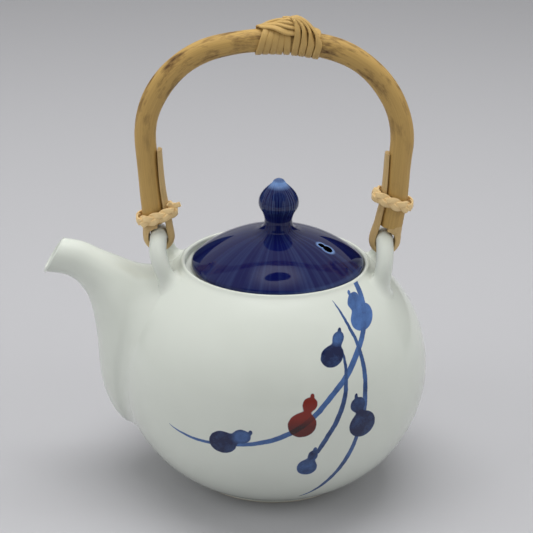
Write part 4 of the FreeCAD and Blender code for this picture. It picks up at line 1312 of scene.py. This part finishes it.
# Cards: name, place, point they face, width and depth, corners
SQUARE = 4
ROUND = 32
BLACK_CARDS = (
    ("card_camera", (0, -0.63, 0.287), (0, 0, 0.08), (0.48, 0.6), SQUARE),
    ("card_above", (0.005, -0.03, 0.716), (0, 0, 0.1), (0.22, 0.10), ROUND),
    ("card_left", (-0.7, 0.8, 0.2), (0, 0, 0.1), (1.0, 0.5), SQUARE),
    ("card_right", (0.7, 0.8, 0.2), (0, 0, 0.1), (1.0, 0.5), SQUARE),
    ("card_front", (0, -0.44, 0.72), (0, 0, 0.1), (1.1, 0.4), SQUARE),
)
LIT_PANEL = ("panel_above", (0.0, 0.0, 0.75), (0, 0, 0.1), (0.56, 0.4), ROUND)


def facing(place, target):
    """The turn that points a lamp or card from its place to the target."""
    return (Vector(target) - Vector(place)).to_track_quat("-Z", "Y").to_euler()


def build_floor(tree, shader):
    """Plain matt paper under and behind the pot."""
    shader.inputs["Base Color"].default_value = opaque(colours().floor)
    shader.inputs["Roughness"].default_value = 0.9
    shader.inputs["Specular IOR Level"].default_value = 0.1


def lamp(name, place, target, size, power):
    """A soft oblong lamp that lights the pot but doesn't show in its glaze."""
    bpy.ops.object.light_add(type="AREA", location=place)
    light = bpy.context.object
    light.name = name
    light.rotation_euler = facing(place, target)
    light.data.shape = "RECTANGLE"
    light.data.size, light.data.size_y = size
    light.data.energy = power
    light.visible_camera = light.visible_glossy = False


def build_card(tree, shader):
    """Matt black card, which gives the glaze its darker reflections."""
    shader.inputs["Base Color"].default_value = opaque(colours().card)
    shader.inputs["Roughness"].default_value = 1.0


def build_panel(tree, shader):
    """Lit cloth panel, brightest in its middle, that gives the glaze a soft-edged highlight."""
    shared = node(tree, "TexCoord").outputs["Object"]
    away = node(tree, "VectorMath", {0: shared}, operation="LENGTH").outputs["Value"]
    fall = node(tree, "MapRange", {"Value": away, "From Min": 1.0, "From Max": 0.35},
                interpolation_type="SMOOTHSTEP")
    glow = node(tree, "MapRange", {"Value": fall, "To Min": 0.5, "To Max": 1.5})
    tree.links.new(glow.outputs[0], shader.inputs["Emission Strength"])
    shader.inputs["Emission Color"].default_value = opaque(linear("#ffffff"))
    shader.inputs["Base Color"].default_value = opaque(linear("#000000"))


def card(material, name, place, target, size, corners):
    """A card that only shows as a reflection in the glaze."""
    bpy.ops.mesh.primitive_circle_add(vertices=corners, radius=1, fill_type="NGON", location=(0, 0, 0),
                                      rotation=(0, 0, 0))
    piece = bpy.context.object
    piece.name = name
    if corners == SQUARE:
        bpy.ops.object.mode_set(mode="EDIT")
        bpy.ops.mesh.select_all(action="SELECT")
        bpy.ops.transform.rotate(value=math.radians(45), orient_axis="Z", center_override=(0, 0, 0))
        bpy.ops.transform.resize(value=(math.sqrt(2), math.sqrt(2), 1), center_override=(0, 0, 0))
        bpy.ops.object.mode_set(mode="OBJECT")
    piece.scale = (size[0] / 2, size[1] / 2, 1)
    piece.location = place
    piece.rotation_euler = facing(place, target)
    piece.data.materials.append(material)
    piece.visible_camera = piece.visible_diffuse = piece.visible_shadow = False


class MakeStage(Operator):
    """Lays the floor, hangs the lamps and cards and sets up the camera"""
    bl_idname = "teapot.stage"
    bl_label = "Stage"

    def execute(self, context):
        scene = context.scene
        bpy.ops.object.select_all(action="DESELECT")
        bpy.ops.mesh.primitive_plane_add(size=FLOOR_SIZE, location=(0, 0, 0))
        floor = context.object
        floor.name = "floor"
        floor.data.materials.append(finish_named("matt_floor", build_floor))
        for row in LAMPS:
            lamp(*row)
        for row in BLACK_CARDS:
            card(finish_named("matt_card", build_card), *row)
        card(finish_named("lit_panel", build_panel), *LIT_PANEL)
        world = bpy.data.worlds.new("studio")
        world.use_nodes = True
        sky = world.node_tree.nodes["Background"]
        sky.inputs["Strength"].default_value = WORLD_LIGHT
        sky.inputs["Color"].default_value = opaque(linear("#ffffff"))
        scene.world = world
        back = Vector((0, -math.cos(CAMERA_ELEVATION), math.sin(CAMERA_ELEVATION)))
        bpy.ops.object.camera_add(location=CAMERA_TARGET + back * CAMERA_DISTANCE)
        camera = context.object
        camera.rotation_euler = (-back).to_track_quat("-Z", "Y").to_euler()
        camera.rotation_euler.rotate_axis("Z", CAMERA_ROLL)
        camera.data.sensor_width = SENSOR_WIDTH
        camera.data.lens = SENSOR_WIDTH * FOCAL_PIXELS / IMAGE_SIDE
        camera.data.clip_start, camera.data.clip_end = 0.01, 50
        scene.camera = camera
        scene.view_settings.view_transform = "Standard"
        return {"FINISHED"}


STEPS = (MakePot, MakeSpout, MakeLugs, MakeLid, MakeCane, MakeTongues, MakePlaits, MakeCrownWrap,
         MakeStage)


class TeapotPanel(Panel):
    """The teapot's steps, sizes and colours"""
    bl_idname = "VIEW3D_PT_teapot"
    bl_label = "Teapot"
    bl_space_type = "VIEW_3D"
    bl_region_type = "UI"
    bl_category = "Teapot"

    def draw(self, context):
        for step in STEPS:
            self.layout.operator(step.bl_idname)
        for group in (context.scene.teapot_sizes, context.scene.teapot_colours):
            for name in group.__annotations__:
                self.layout.prop(group, name)


CLASSES = (TeapotSizes, TeapotColours, *STEPS, TeapotPanel)


def register():
    for kind in CLASSES:
        bpy.utils.register_class(kind)
    bpy.types.Scene.teapot_sizes = PointerProperty(type=TeapotSizes)
    bpy.types.Scene.teapot_colours = PointerProperty(type=TeapotColours)


def unregister():
    del bpy.types.Scene.teapot_colours
    del bpy.types.Scene.teapot_sizes
    for kind in reversed(CLASSES):
        bpy.utils.unregister_class(kind)


def main():
    register()
    bpy.ops.teapot.pot()
    bpy.ops.teapot.spout()
    bpy.ops.teapot.lugs()
    bpy.ops.teapot.lid()
    bpy.ops.teapot.cane()
    bpy.ops.teapot.tongues()
    bpy.ops.teapot.plaits()
    bpy.ops.teapot.crown_wrap()
    bpy.ops.teapot.stage()


if __name__ == "__main__":
    main()
